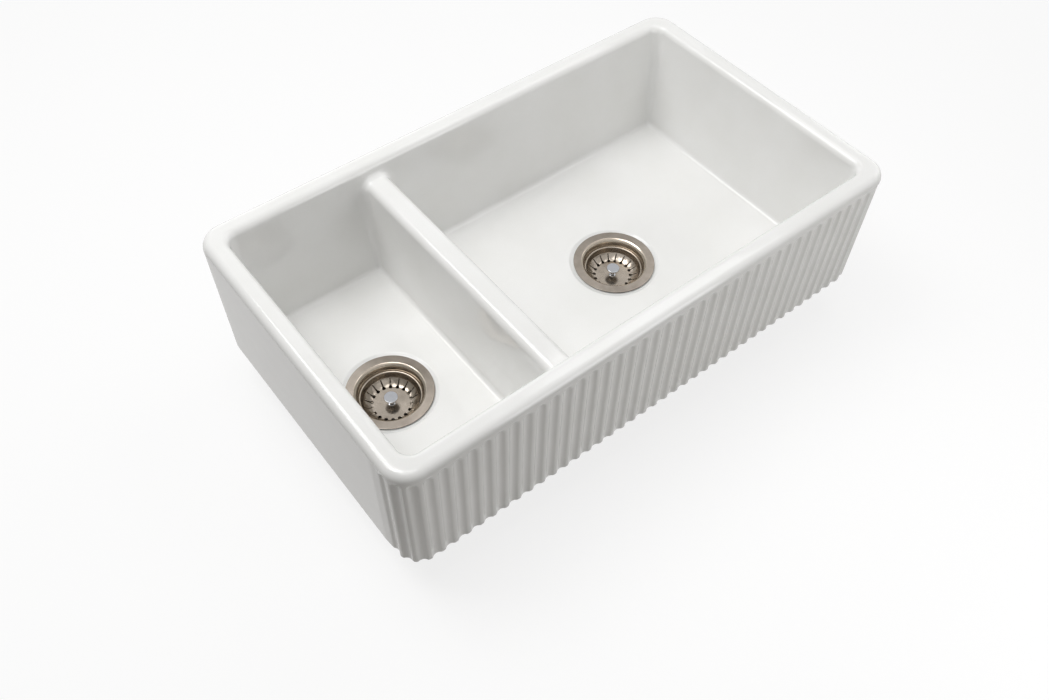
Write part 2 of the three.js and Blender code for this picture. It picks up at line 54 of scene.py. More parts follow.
IMAGE_WIDTH = 1049
IMAGE_HEIGHT = 700
SENSOR = 36.0
CAMERA_PLACE = (-0.6139, -0.6964, 1.0946)
CAMERA_AZIMUTH = -39.261
CAMERA_HEIGHT_ANGLE = 53.071
CAMERA_ROLL = 1.339
FOCAL_PIXELS = 977.88
PRINCIPAL_POINT = (524.53, 358.31)


def camera_turn(azimuth, elevation, roll):
    """Columns are the camera's right, up and back directions in the world."""
    a, e, r = (math.radians(angle) for angle in (azimuth, elevation, roll))
    back = Vector((math.sin(a) * math.cos(e), -math.cos(a) * math.cos(e), math.sin(e)))
    right = Vector((0, 0, 1)).cross(back).normalized()
    up = back.cross(right)
    turned_right = math.cos(r) * right + math.sin(r) * up
    turned_up = math.cos(r) * up - math.sin(r) * right
    return Matrix((turned_right, turned_up, back)).transposed()


camera_data = bpy.data.cameras.new("camera")
camera_data.sensor_width = SENSOR
camera_data.lens = FOCAL_PIXELS / IMAGE_WIDTH * SENSOR
camera_data.shift_x = (IMAGE_WIDTH / 2 - PRINCIPAL_POINT[0]) / IMAGE_WIDTH
camera_data.shift_y = (PRINCIPAL_POINT[1] - IMAGE_HEIGHT / 2) / IMAGE_WIDTH
camera_data.clip_start = 0.01
camera = bpy.data.objects.new("camera", camera_data)
turn = camera_turn(CAMERA_AZIMUTH, CAMERA_HEIGHT_ANGLE, CAMERA_ROLL)
camera.matrix_world = Matrix.Translation(CAMERA_PLACE) @ turn.to_4x4()
bpy.context.collection.objects.link(camera)
bpy.context.scene.camera = camera
bpy.context.scene.view_settings.view_transform = "Standard"


# ------------------------------------------------------------------------------------------------
# Sink body
#
# One heavy fireclay casting: rim, bowls, divider and fluted apron in one piece. It is cast in a
# plaster mould, dipped in white glaze and fired, so every edge is soft. The foot is left unglazed.

WIDTH = 800
DEPTH = 464
RIM_TOP = 202
RIM_WIDTH = 29.2
FLOOR_Z = 26
RIM_CORNER = 17  # upright corners of the bowls, at the rim
FLOOR_CORNER = 7
END_DRAFT = 9
FRONT_DRAFT = 11
BACK_DRAFT = 17


def round_min(a, b, radius):
    """The smaller of two distances with a circular fillet:
    max(r, min(a, b)) - hypot(max(r - a, 0), max(r - b, 0))."""
    reach = np.hypot(np.maximum(radius - a, 0), np.maximum(radius - b, 0))
    return np.maximum(radius, np.minimum(a, b)) - reach


def depth_share(z):
    """0 at the rim and 1 at the foot of the walls."""
    return (RIM_TOP - z) / (RIM_TOP - FLOOR_Z)


def corner_radius(z):
    """Runs evenly from RIM_CORNER at the rim to FLOOR_CORNER at the foot of the walls."""
    return RIM_CORNER + (FLOOR_CORNER - RIM_CORNER) * depth_share(z)


def inner_walls(z):
    """x_min, x_max, y_min, y_max of the inside walls at a height: each leans in by its draft."""
    down = depth_share(z)
    half_x = WIDTH / 2 - RIM_WIDTH - END_DRAFT * down
    y_min = -DEPTH / 2 + RIM_WIDTH + FRONT_DRAFT * down
    y_max = DEPTH / 2 - RIM_WIDTH - BACK_DRAFT * down
    return -half_x, half_x, y_min, y_max


def wall_distance(x, y, z):
    """Distance in from the walls, a rounded rectangle: r - |max(q, 0)| - min(max(qx, qy), 0)."""
    x_min, x_max, y_min, y_max = inner_walls(z)
    corner = corner_radius(z)
    qx = np.abs(x - (x_min + x_max) / 2) - (x_max - x_min) / 2 + corner
    qy = np.abs(y - (y_min + y_max) / 2) - (y_max - y_min) / 2 + corner
    outside = np.hypot(np.maximum(qx, 0), np.maximum(qy, 0))
    return corner - outside - np.minimum(np.maximum(qx, qy), 0)


DIVIDER_X = -150.8
DIVIDER_THICKNESS = 35.5
DIVIDER_TOP = 182
DIVIDER_SHOULDER = 11
DIVIDER_DRAFT = 1.2
DIVIDER_END_FILLET = 8  # where the divider's top meets the walls


def divider_distance(x, z):
    """Distance out from the divider, a slab with rounded shoulders: |max(q, 0)| + min(max(q), 0) - r."""
    lean = DIVIDER_DRAFT * np.clip((DIVIDER_TOP - DIVIDER_SHOULDER - z) / (DIVIDER_TOP - FLOOR_Z), 0, 1)
    qx = np.abs(x - DIVIDER_X) - DIVIDER_THICKNESS / 2 - lean + DIVIDER_SHOULDER
    qz = z - DIVIDER_TOP + DIVIDER_SHOULDER
    outside = np.hypot(np.maximum(qx, 0), np.maximum(qz, 0))
    return outside + np.minimum(np.maximum(qx, qz), 0) - DIVIDER_SHOULDER


DRAINS = {"small": (-280.875, -7.2), "large": (110.875, -13.6)}
FLOOR_FALL = 2.5
FLOOR_FALL_REACH = 90  # the fall eases out over this distance from the recess
RECESS_RADIUS = 64.5
RECESS_DEPTH = 2
RECESS_STEP_OUT = 2.5  # the step down to the recess starts this far outside its radius
RECESS_STEP_RUN = 5.6


def floor_height(x, y):
    """The floor lies lower by fall * exp(-d / reach) at a distance d from a drain's recess, and steps
    down into the recess as s^2 (3 - 2 s)."""
    drain = np.where((x < DIVIDER_X)[..., None], DRAINS["small"], DRAINS["large"])
    away = np.hypot(x - drain[..., 0], y - drain[..., 1])
    past = np.maximum(away - RECESS_RADIUS, 0)
    fall = FLOOR_FALL * np.exp(-past / FLOOR_FALL_REACH)
    step = np.clip((RECESS_RADIUS + RECESS_STEP_OUT - away) / RECESS_STEP_RUN, 0, 1)
    return FLOOR_Z - fall - RECESS_DEPTH * step * step * (3 - 2 * step)


RIM_INNER_ROUNDING = 10
FLOOR_FILLET = 7
RING_TOP = 165  # the closed rings of each bowl end here, below the divider's shoulder


def solid_depth(points):
    """Positive inside the fireclay and negative in the bowls' hollow, with every fillet."""
    x, y, z = points[..., 0], points[..., 1], points[..., 2]
    rise = np.clip((z - RING_TOP) / (DIVIDER_TOP - RING_TOP), 0, 1)
    below = corner_radius(z)
    corner = below + (DIVIDER_END_FILLET - below) * rise * rise * (3 - 2 * rise)
    hollow = round_min(wall_distance(x, y, z), divider_distance(x, z), corner)
    hollow = round_min(hollow, z - floor_height(x, y), FLOOR_FILLET)
    return round_min(-hollow, RIM_TOP - z, RIM_INNER_ROUNDING)


NEWTON_ROUNDS = 14
SLOPE_STEP = 0.02  # a slope is taken this far to both sides of a point
LEAST_SLOPE = 0.05  # of the slope squared, so that a step stays finite
LONGEST_STEP = 2


def settled(points):
    """Points moved onto the surface by Newton steps p - g * grad g / |grad g|^2 of solid_depth."""
    points = np.array(points, float)
    for _ in range(NEWTON_ROUNDS):
        depth = solid_depth(points)
        shifts = np.eye(3) * SLOPE_STEP
        slope = np.stack([
            (solid_depth(points + shift) - solid_depth(points - shift)) / (2 * SLOPE_STEP)
            for shift in shifts
        ], axis=-1)
        length = np.maximum((slope ** 2).sum(-1), LEAST_SLOPE)
        step = np.clip(depth / length, -LONGEST_STEP, LONGEST_STEP)
        points -= step[..., None] * slope
    return points


CORNER_STEPS = 12
STATION_SPACING = 7.5


def side_stations(length):
    """Shares along a straight side, its two ends left out."""
    count = max(int(round(length / STATION_SPACING)), 2)
    return np.arange(1, count) / count


def rounded_ring(walls, radius, shares):
    """Points round a rectangle, counter-clockwise from its front right corner, with corner arcs
    of CORNER_STEPS steps and the sides' shares between."""
    x_min, x_max, y_min, y_max = walls
    centres = [
        (x_max - radius, y_min + radius),
        (x_max - radius, y_max - radius),
        (x_min + radius, y_max - radius),
        (x_min + radius, y_min + radius),
    ]
    arcs = []
    for corner, centre in enumerate(centres):
        angle = (corner - 1 + np.linspace(0, 1, CORNER_STEPS + 1)) * math.pi / 2
        arcs.append(np.array(centre) + radius * np.stack([np.cos(angle), np.sin(angle)], axis=-1))
    ring = []
    for corner in range(4):
        start, end = arcs[corner][-1], arcs[(corner + 1) % 4][0]
        ring.append(arcs[corner])
        ring.append(start + shares[corner][:, None] * (end - start))
    return np.concatenate(ring)


def bowl_walls(side, z):
    """x_min, x_max, y_min, y_max of one bowl at a height: the divider's face closes one side."""
    x_min, x_max, y_min, y_max = inner_walls(z)
    lean = DIVIDER_DRAFT * (DIVIDER_TOP - DIVIDER_SHOULDER - z) / (DIVIDER_TOP - FLOOR_Z)
    half = DIVIDER_THICKNESS / 2 + max(lean, 0)
    if side == "small":
        return x_min, DIVIDER_X - half, y_min, y_max
    return DIVIDER_X + half, x_max, y_min, y_max


def bowl_shares(side):
    """Shares along a bowl's four sides, the same at every height, so that its rings match."""
    x_min, x_max, y_min, y_max = bowl_walls(side, RING_TOP)
    across = side_stations(x_max - x_min)
    along = side_stations(y_max - y_min)
    return [along, across, along, across]


def at_height(ring, z):
    """A ring of (x, y) points with its height added."""
    return np.column_stack([ring, np.full(len(ring), float(z))])


DRAIN_HOLE = 45
DRAIN_EDGE = 2
RECESS_Z = FLOOR_Z - FLOOR_FALL - RECESS_DEPTH
RECESS_ROWS = np.linspace(-4, 3.5, 14)  # rings across the recess's step, from its radius
GASKET_SEAT_RADIUS = 58
GASKET_SEAT_DEPTH = 1.5
FLOOR_STEPS = 19
FILLET_STEPS = 10
WALL_STEPS = 13


def bowl_rings(side):
    """Rings of one bowl, from the gasket's seat in the underside through the drain hole, over the
    floor and up the walls to RING_TOP."""
    shares = bowl_shares(side)
    drain = np.array(DRAINS[side], float)
    fillet_z = FLOOR_Z + FLOOR_FILLET

    def inset_ring(z, amount):
        """The walls' ring at a height, drawn in by an amount on each side."""
        x_min, x_max, y_min, y_max = bowl_walls(side, z)
        walls = (x_min + amount, x_max - amount, y_min + amount, y_max - amount)
        return rounded_ring(walls, corner_radius(z), shares)

    foot = inset_ring(fillet_z, FLOOR_FILLET)
    angle = np.arctan2(foot[:, 1] - drain[1], foot[:, 0] - drain[0])
    spokes = np.stack([np.cos(angle), np.sin(angle)], axis=-1)
    hidden = [
        (GASKET_SEAT_RADIUS, 0),
        (GASKET_SEAT_RADIUS, GASKET_SEAT_DEPTH),
        (DRAIN_HOLE, GASKET_SEAT_DEPTH),
        (DRAIN_HOLE, RECESS_Z - DRAIN_EDGE),
        (DRAIN_HOLE + DRAIN_EDGE, RECESS_Z),
    ]
    rings = [at_height(drain + radius * spokes, z) for radius, z in hidden]
    recess = [drain + radius * spokes for radius in RECESS_RADIUS + RECESS_ROWS]
    last = recess[-1]
    spread = [last + share * (foot - last) for share in np.linspace(0, 1, FLOOR_STEPS + 1)[1:]]
    open_floor = [np.column_stack([r, floor_height(r[:, 0], r[:, 1])]) for r in recess + spread]
    bend = np.linspace(0, math.pi / 2, FILLET_STEPS + 1)[1:]
    fillet = [
        at_height(
            inset_ring(fillet_z, FLOOR_FILLET * (1 - math.sin(a))),
            fillet_z - FLOOR_FILLET * math.cos(a),
        )
        for a in bend
    ]
    heights = np.linspace(fillet_z, RING_TOP, WALL_STEPS + 1)[1:]
    walls = [at_height(inset_ring(z, 0), z) for z in heights]
    return np.array(rings), settled(np.array(open_floor + fillet + walls))


def corner_middle(side, corner):
    """Index, in a bowl's ring, of the middle of a corner's arc."""
    shares = bowl_shares(side)
    return sum(CORNER_STEPS + 1 + len(shares[c]) for c in range(corner)) + CORNER_STEPS // 2


def ring_stretch(ring, start, end):
    """Part of a closed ring from one index to another, counter-clockwise, both ends included."""
    if end <= start:
        end += len(ring)
    return ring[np.arange(start, end + 1) % len(ring)]


DIVIDER_STEPS = 26
CREST_POWER = 0.6  # below 1, so that the first guess has square shoulders


def divider_strip(small_top, large_top):
    """The top of the divider, from one bowl's ring over the crest to the other's, front to back."""
    near = ring_stretch(small_top, corner_middle("small", 0), corner_middle("small", 1))
    far = ring_stretch(large_top, corner_middle("large", 2), corner_middle("large", 3))[::-1]
    over = np.linspace(0, math.pi, DIVIDER_STEPS + 1)[:, None]
    share = (1 - np.cos(over)) / 2
    x = near[:, 0] + share * (far[:, 0] - near[:, 0])
    y = near[:, 1] + share * (far[:, 1] - near[:, 1])
    corner = corner_radius(RING_TOP)
    to_wall = np.clip(wall_distance(x, y, float(DIVIDER_TOP)), 0, corner)
    rise = corner - np.sqrt(corner ** 2 - (corner - to_wall) ** 2)
    z = RING_TOP + (DIVIDER_TOP + rise - RING_TOP) * np.sin(over) ** CREST_POWER
    inner = settled(np.stack([x, y, z], axis=-1)[1:-1])
    return np.concatenate([near[None], inner, far[None]])


WALL_ROUNDS = 8


def row_on_walls(foot, z, outward):
    """The foot's columns moved onto the walls at given heights, then outward by a distance."""
    x, y = foot[:, 0].copy(), foot[:, 1].copy()
    step = SLOPE_STEP
    for _ in range(WALL_ROUNDS):
        gap = wall_distance(x, y, z) + outward
        slope_x = (wall_distance(x + step, y, z) - wall_distance(x - step, y, z)) / (2 * step)
        slope_y = (wall_distance(x, y + step, z) - wall_distance(x, y - step, z)) / (2 * step)
        x -= gap * slope_x
        y -= gap * slope_y
    return np.stack([x, y, z], axis=-1)


UPPER_STEPS = 9
RIM_STEPS = 8


def upper_walls(small_top, large_top, strip):
    """The walls above the two rings and the divider's ends, up over the rim's inner rounding.
    Its columns run once round the whole sink, counter-clockwise."""
    small_run = ring_stretch(small_top, corner_middle("small", 1), corner_middle("small", 0))
    large_run = ring_stretch(large_top, corner_middle("large", 3), corner_middle("large", 2))
    front_end = strip[1:-1, 0]
    back_end = strip[1:-1, -1][::-1]
    foot = np.concatenate([small_run, front_end, large_run, back_end])
    flare_z = RIM_TOP - RIM_INNER_ROUNDING
    rows = [foot]
    for share in np.linspace(0, 1, UPPER_STEPS + 1)[1:]:
        rows.append(row_on_walls(foot, foot[:, 2] + share * (flare_z - foot[:, 2]), 0))
    for a in np.linspace(0, math.pi / 2, RIM_STEPS + 1)[1:]:
        z = np.full(len(foot), flare_z + RIM_INNER_ROUNDING * math.sin(a))
        rows.append(row_on_walls(foot, z, RIM_INNER_ROUNDING * (1 - math.cos(a))))
    rows[1:] = list(settled(np.array(rows[1:])))
    rows[-1][:, 2] = RIM_TOP
    return np.array(rows)


OUTER_CORNER = 34


def perimeter(distance):
    """Centre and outward direction of the outer wall at a distance along it from the middle of the
    front, counter-clockwise. A point of the wall is centre + radius * direction."""
    straight_x = WIDTH - 2 * OUTER_CORNER
    straight_y = DEPTH - 2 * OUTER_CORNER
    arc_length = OUTER_CORNER * math.pi / 2
    runs = [straight_x / 2, arc_length, straight_y, arc_length, straight_x, arc_length, straight_y,
            arc_length, straight_x / 2]
    moves = [(1, 0), None, (0, 1), None, (-1, 0), None, (0, -1), None, (1, 0)]
    left = np.array(distance, float)
    left = np.where(left < 0, left + sum(runs), left)
    centre = np.zeros((len(left), 2)) + [0, -DEPTH / 2 + OUTER_CORNER]
    angle = np.full(len(left), -math.pi / 2)
    for run, move in zip(runs, moves):
        part = np.clip(left, 0, run)
        if move is None:
            angle += part / OUTER_CORNER
        else:
            centre += part[:, None] * np.array(move)
        left = left - part
    return centre, np.stack([np.cos(angle), np.sin(angle)], axis=-1)


FLUTE_PITCH = 19.4
FLUTE_WIDTH = 13
FLUTE_DEPTH = 3.2
FLUTE_TOP = RIM_TOP - 17.5
FLUTE_SHIFT = 6.4
FLUTES_LEFT = 22  # flutes left of the shifted middle one, the wrapped corner included
FLUTES_RIGHT = 21
ARRIS = 1.4  # rounding where a flute meets its ridge
ARRIS_NEAR = 0.3  # columns of the mesh on both sides of an arris
ARRIS_FAR = 1.1
HOLLOW_COLUMNS = 11
RIDGE_COLUMNS = 2
PLAIN_COLUMN = 3  # width of the first columns beside the flutes
EDGE_COLUMN = 1.5
CORNER_COLUMNS = 14
SIDE_COLUMNS = 22
BACK_COLUMNS = 39


def flute_depth(distance, z):
    """Depth of the flutes at a distance along the apron and a height. q is the distance from a
    flute's axis, or from its dome's centre above that: sqrt(R^2 - q^2) - R + depth, eased at the
    arris as (d + sqrt(d^2 + k^2)) / 2."""
    half = FLUTE_WIDTH / 2
    radius = (half ** 2 + FLUTE_DEPTH ** 2) / (2 * FLUTE_DEPTH)
    number = np.clip(np.round((distance - FLUTE_SHIFT) / FLUTE_PITCH), -FLUTES_LEFT, FLUTES_RIGHT)
    across = distance - FLUTE_SHIFT - number * FLUTE_PITCH
    above = np.maximum(z - (FLUTE_TOP - half), 0)
    q = np.hypot(across, above)
    cut = np.sqrt(np.maximum(radius ** 2 - q ** 2, 0)) - radius + FLUTE_DEPTH
    cut = np.where(q < radius, cut, FLUTE_DEPTH - radius - (q - radius))
    return (cut + np.sqrt(cut ** 2 + ARRIS ** 2)) / 2


def apron_share(distance):
    """1 on the fluted stretch of the outer wall, 0 away from it, eased over a flute's width."""
    first = FLUTE_SHIFT - (FLUTES_LEFT + 0.5) * FLUTE_PITCH
    last = FLUTE_SHIFT + (FLUTES_RIGHT + 0.5) * FLUTE_PITCH
    rise = np.clip(np.minimum(distance - first, last - distance) / FLUTE_WIDTH + 1, 0, 1)
    return rise * rise * (3 - 2 * rise)


def outer_columns():
    """Distances of the outer skin's columns: dense on the flutes, sparse on the plain stretches."""
    half = FLUTE_WIDTH / 2
    local = np.concatenate([
        np.linspace(-half + 1, half - 1, HOLLOW_COLUMNS),
        [half - ARRIS_NEAR, half + ARRIS_NEAR, half + ARRIS_FAR],
        np.linspace(half + ARRIS_FAR, FLUTE_PITCH - half - ARRIS_FAR, RIDGE_COLUMNS + 2)[1:-1],
        [FLUTE_PITCH - half - ARRIS_FAR, FLUTE_PITCH - half - ARRIS_NEAR, FLUTE_PITCH - half + ARRIS_NEAR],
    ])
    numbers = np.arange(-FLUTES_LEFT, FLUTES_RIGHT + 1)
    fluted = (FLUTE_SHIFT + numbers[:, None] * FLUTE_PITCH + local).ravel()
    arc_length = OUTER_CORNER * math.pi / 2
    total = 2 * (WIDTH + DEPTH - 4 * OUTER_CORNER) + 4 * arc_length
    right_start = WIDTH / 2 - OUTER_CORNER
    back_right = right_start + arc_length + DEPTH - 2 * OUTER_CORNER
    back_left = back_right + arc_length + WIDTH - 2 * OUTER_CORNER
    first, last = total + (fluted[0] - EDGE_COLUMN), fluted[-1] + EDGE_COLUMN
    corner = np.linspace(0, arc_length, CORNER_COLUMNS + 1)[1:]
    wide = PLAIN_COLUMN
    plain = np.concatenate([
        last + np.arange(0, 4 * wide, wide),
        np.linspace(last + 5 * wide, back_right, SIDE_COLUMNS),
        back_right + corner,
        np.linspace(back_right + arc_length, back_left, BACK_COLUMNS + 1)[1:],
        back_left + corner,
        np.linspace(back_left + arc_length, first - 10 * wide, SIDE_COLUMNS + 2)[1:],
        np.arange(first - 9 * wide, first + 0.1, wide),
    ])
    return np.concatenate([fluted, plain]), total


APRON_SETBACK = 1.0  # the fluted face lies this far behind the rim
SETBACK_RUN = 1.2  # height over which it steps back
RIM_OUTER_ROUNDING = 11.5
BASE_ROUNDING = 3
SETBACK_ROWS = np.array([0.5, 1.0, 1.5, 2.2, 3.0])  # below the rim's rounding
SETBACK_START = 0.2  # above the foot of that rounding
RIM_OUTER_STEPS = 10
DOME_ROWS = 16
SHAFT_ROWS = 8
BASE_STEPS = 5


def outer_skin():
    """The outside, from the flat of the rim over its rounding, down the apron to the base."""
    columns, total = outer_columns()
    centre, outward = perimeter(columns)
    signed = np.where(columns > total / 2, columns - total, columns)
    share = apron_share(signed)
    rim = np.linspace(math.pi / 2, 0, RIM_OUTER_STEPS + 1)
    top = RIM_TOP - RIM_OUTER_ROUNDING
    rows = [
        (RIM_OUTER_ROUNDING * (1 - math.cos(a)), RIM_TOP - RIM_OUTER_ROUNDING * (1 - math.sin(a)))
        for a in rim
    ]
    rows += [(0, z) for z in top - SETBACK_ROWS]
    below_domes = FLUTE_TOP - FLUTE_WIDTH
    rows += [(0, z) for z in np.linspace(top - 4, below_domes, DOME_ROWS)]
    rows += [(0, z) for z in np.linspace(below_domes, BASE_ROUNDING, SHAFT_ROWS + 1)[1:]]
    base = np.linspace(0, math.pi / 2, BASE_STEPS + 1)[1:]
    rows += [(BASE_ROUNDING * (1 - math.cos(a)), BASE_ROUNDING * (1 - math.sin(a))) for a in base]
    grid = []
    for inset, z in rows:
        step = np.clip((top + SETBACK_START - z) / SETBACK_RUN, 0, 1)
        setback = APRON_SETBACK * share * step * step * (3 - 2 * step)
        cut = flute_depth(signed, z) * share * (z < top)
        radius = OUTER_CORNER - inset - setback - cut
        grid.append(np.column_stack([centre + radius[:, None] * outward, np.full(len(columns), z)]))
    return np.array(grid)


WELD = 2e-6  # metres within which points are one


class Skin:
    """Collects grids of points and their faces into one closed mesh."""

    def __init__(self):
        self.points = []
        self.faces = []
        self.count = 0

    def add_points(self, points):
        """Adds points, and gives the number of the first."""
        start = self.count
        flat = np.asarray(points, float).reshape(-1, 3)
        self.points.append(flat)
        self.count += len(flat)
        return start

    def add_grid(self, grid, closed, flip=False):
        """Quads between neighbouring rows and columns. closed joins the last column to the first."""
        grid = np.asarray(grid, float)
        start = self.add_points(grid)
        rows, columns = grid.shape[:2]
        steps = columns if closed else columns - 1
        row, column = np.meshgrid(np.arange(rows - 1), np.arange(steps), indexing="ij")
        following = (column + 1) % columns
        quad = np.stack([
            row * columns + column,
            row * columns + following,
            (row + 1) * columns + following,
            (row + 1) * columns + column,
        ], axis=-1).reshape(-1, 4) + start
        self.faces += (quad[:, ::-1] if flip else quad).tolist()

    def add_flat(self, outline, holes, z, upward):
        """A flat face in an outline with holes, in triangles."""
        loops = [outline, *holes]
        points = np.concatenate(loops)
        start = self.add_points(np.column_stack([points, np.full(len(points), float(z))]))
        edges, loop_of, at = [], [], 0
        for number, loop in enumerate(loops):
            edges += [(at + i, at + (i + 1) % len(loop)) for i in range(len(loop))]
            loop_of += [number] * len(loop)
            at += len(loop)
        flat = [Vector((x, y)) for x, y in points]
        found = delaunay_2d_cdt(flat, edges, [list(range(len(outline)))], 1, 1e-7)
        sources = [source[0] for source in found[3]]
        hole_only = [{number + 1} for number in range(len(holes))]
        for face in found[2]:
            corners = [sources[i] for i in face]
            if {loop_of[c] for c in corners} in hole_only:
                continue
            self.faces.append([start + c for c in (corners if upward else corners[::-1])])

    def mesh(self, name):
        """The mesh in metres, with points that lie on each other made one."""
        points = np.concatenate(self.points) * MM
        keys = np.round(points / WELD).astype(np.int64)
        _, first, same = np.unique(keys, axis=0, return_index=True, return_inverse=True)
        same = same.ravel()
        faces = []
        for face in self.faces:
            corners = [int(same[c]) for c in face]
            kept = [c for i, c in enumerate(corners) if c != corners[i - 1]]
            if len(kept) > 2:
                faces.append(kept)
        made = bpy.data.meshes.new(name)
        made.from_pydata(points[first].tolist(), [], faces)
        made.polygons.foreach_set("use_smooth", np.ones(len(faces), bool))
        made.update()
        return made


def sink_body():
    """The casting's whole surface, from the bowls over the divider and the rim to the underside."""
    skin = Skin()
    hidden_small, small = bowl_rings("small")
    hidden_large, large = bowl_rings("large")
    strip = divider_strip(small[-1], large[-1])
    upper = upper_walls(small[-1], large[-1], strip)
    outside = outer_skin()
    for hidden, bowl in ((hidden_small, small), (hidden_large, large)):
        skin.add_grid(np.concatenate([hidden, bowl]), closed=True, flip=True)
    skin.add_grid(strip, closed=False, flip=True)
    skin.add_grid(upper, closed=True, flip=True)
    skin.add_grid(outside, closed=True, flip=True)
    skin.add_flat(outside[0][:, :2], [upper[-1][:, :2]], RIM_TOP, upward=True)
    seats = [hidden_small[0][:, :2], hidden_large[0][:, :2]]
    skin.add_flat(outside[-1][:, :2], seats, 0, upward=False)
    return skin.mesh("sink_glaze")


def srgb(code):
    """Linear colour of an sRGB hex code."""
    shares = [int(code[i:i + 2], 16) / 255 for i in (1, 3, 5)]
    linear = [s / 12.92 if s <= 0.04045 else ((s + 0.055) / 1.055) ** 2.4 for s in shares]
    return (*linear, 1.0)


def new_material(name):
    """A new material with nodes, and its node tree."""
    material = bpy.data.materials.new(name)
    material.use_nodes = True
    return material, material.node_tree


def feed(tree, socket, value):
    """Links a socket to another node's output, or sets it to a constant."""
    if isinstance(value, bpy.types.NodeSocket):
        tree.links.new(value, socket)
    else:
        socket.default_value = value


def node(tree, kind, links=None, **settings):
    """Adds a node with its settings. links gives each input a constant or another node's output."""
    made = tree.nodes.new("ShaderNode" + kind)
    for key, value in settings.items():
        setattr(made, key, value)
    for key, value in (links or {}).items():
        feed(tree, made.inputs[key], value)
    return made


def finish_surface(tree, **sockets):
    """Feeds the sockets of the material's own shader. Base_Color stands for Base Color."""
    shader = tree.nodes["Principled BSDF"]
    for key, value in sockets.items():
        feed(tree, shader.inputs[key.replace("_", " ")], value)
    return shader


def grain(place, size, detail=2.0, roughness=0.5):
    """Inputs of a noise whose features are about that many millimetres across."""
    return {"Vector": place, "Scale": 1 / (size * MM), "Detail": detail, "Roughness": roughness}


NOISE_LOW, NOISE_HIGH = 0.3, 0.7  # noise mostly lies between these


def wander(tree, place, size, low, high, **fineness):
    """A value that wanders from low to high over patches of a size in millimetres."""
    pattern = node(tree, "TexNoise", grain(place, size, **fineness)).outputs["Fac"]
    spread = {"Value": pattern, "From Min": NOISE_LOW, "From Max": NOISE_HIGH, "To Min": low, "To Max": high}
    return node(tree, "MapRange", spread).outputs["Result"]


def relief(tree, place, size, depth, under=None, **fineness):
    """Bumps of a size and a depth in millimetres, laid over other bumps where there are any."""
    pattern = node(tree, "TexNoise", grain(place, size, **fineness)).outputs["Fac"]
    links = {"Height": pattern, "Strength": 1.0, "Distance": depth * MM}
    if under is not None:
        links["Normal"] = under
    return node(tree, "Bump", links).outputs["Normal"]


FACTOR, FIRST, SECOND, MIXED = 0, 6, 7, 2  # a Mix node's inputs for colours, and its output
BARE_FOOT = (0.2, 0.6)  # the glaze starts between these heights
BARE_ROUGHNESS = 0.7  # what the bare clay has more than the glaze


def glaze():
    """White fireclay glaze: clear gloss over a body that is faintly uneven in tone, with the soft
    waves that the glaze takes as it melts, and a fine orange peel. The foot, which stands on the
    kiln's shelf, is wiped bare, and shows the cream clay, rough to the touch."""
    material, tree = new_material("white_glaze")
    place = node(tree, "TexCoord").outputs["Object"]
    tone = wander(tree, place, 90, 0, 1, detail=3)
    links = {FACTOR: tone, FIRST: srgb("#f1f1f0"), SECOND: srgb("#ececea")}
    body = node(tree, "Mix", links, data_type="RGBA")
    specks = wander(tree, place, 1.6, 0, 0.25, detail=4, roughness=0.7)
    links = {FACTOR: specks, FIRST: body.outputs[MIXED], SECOND: srgb("#e4e3df")}
    white = node(tree, "Mix", links, data_type="RGBA")
    sand = wander(tree, place, 1.6, 0, 1, detail=4, roughness=0.7)
    links = {FACTOR: sand, FIRST: srgb("#ddd4c4"), SECOND: srgb("#cdc2af")}
    clay = node(tree, "Mix", links, data_type="RGBA")
    height = node(tree, "SeparateXYZ", {0: place}).outputs["Z"]
    links = {"Value": height, "From Min": BARE_FOOT[0] * MM, "From Max": BARE_FOOT[1] * MM}
    glazed = node(tree, "MapRange", links).outputs["Result"]
    links = {FACTOR: glazed, FIRST: clay.outputs[MIXED], SECOND: white.outputs[MIXED]}
    colour = node(tree, "Mix", links, data_type="RGBA")
    gloss = wander(tree, place, 30, 0.07, 0.13)
    links = {"Value": glazed, "To Min": BARE_ROUGHNESS, "To Max": 0}
    bare = node(tree, "MapRange", links).outputs["Result"]
    rough = node(tree, "Math", {0: gloss, 1: bare}, operation="ADD").outputs[0]
    waves = relief(tree, place, 45, 0.10, detail=1)
    peel = relief(tree, place, 3.5, 0.006, under=waves)
    finish_surface(tree, IOR=1.5, Base_Color=colour.outputs[MIXED], Roughness=rough, Normal=peel)
    return material


def add_piece(name, mesh, material, body, replaced):
    """A piece of the object: its mesh with its material, riding on a body in a node's place."""
    piece = bpy.data.objects.new(name, mesh)
    piece.data.materials.append(material)
    bpy.context.collection.objects.link(piece)
    weighted = piece.modifiers.new("weighted", "WEIGHTED_NORMAL")
    weighted.keep_sharp = True
    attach(piece, body)
    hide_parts(*replaced)
    return piece


add_piece("sink_glaze", sink_body(), glaze(), "sink", ["sink_body"])


# ------------------------------------------------------------------------------------------------
# Flange seals and underside gaskets
#
# Flat black rubber rings, moulded. Each drain has one on the recess, under the cup's flange, and
# one in the seat below, and the clamping screw squeezes both against the fireclay.

GAP = 0.3  # between two pieces that touch
TURNED_SIDES = 144
SMALL_SIDES = 96
SEAL_INNER = 49.5
SEAL_OUTER = 59
SEAL_THICKNESS = 1.5
GASKET_INNER = 46
GASKET_OUTER = 54
GASKET_THICKNESS = 3
GASKET_TOP = GASKET_SEAT_DEPTH - GAP


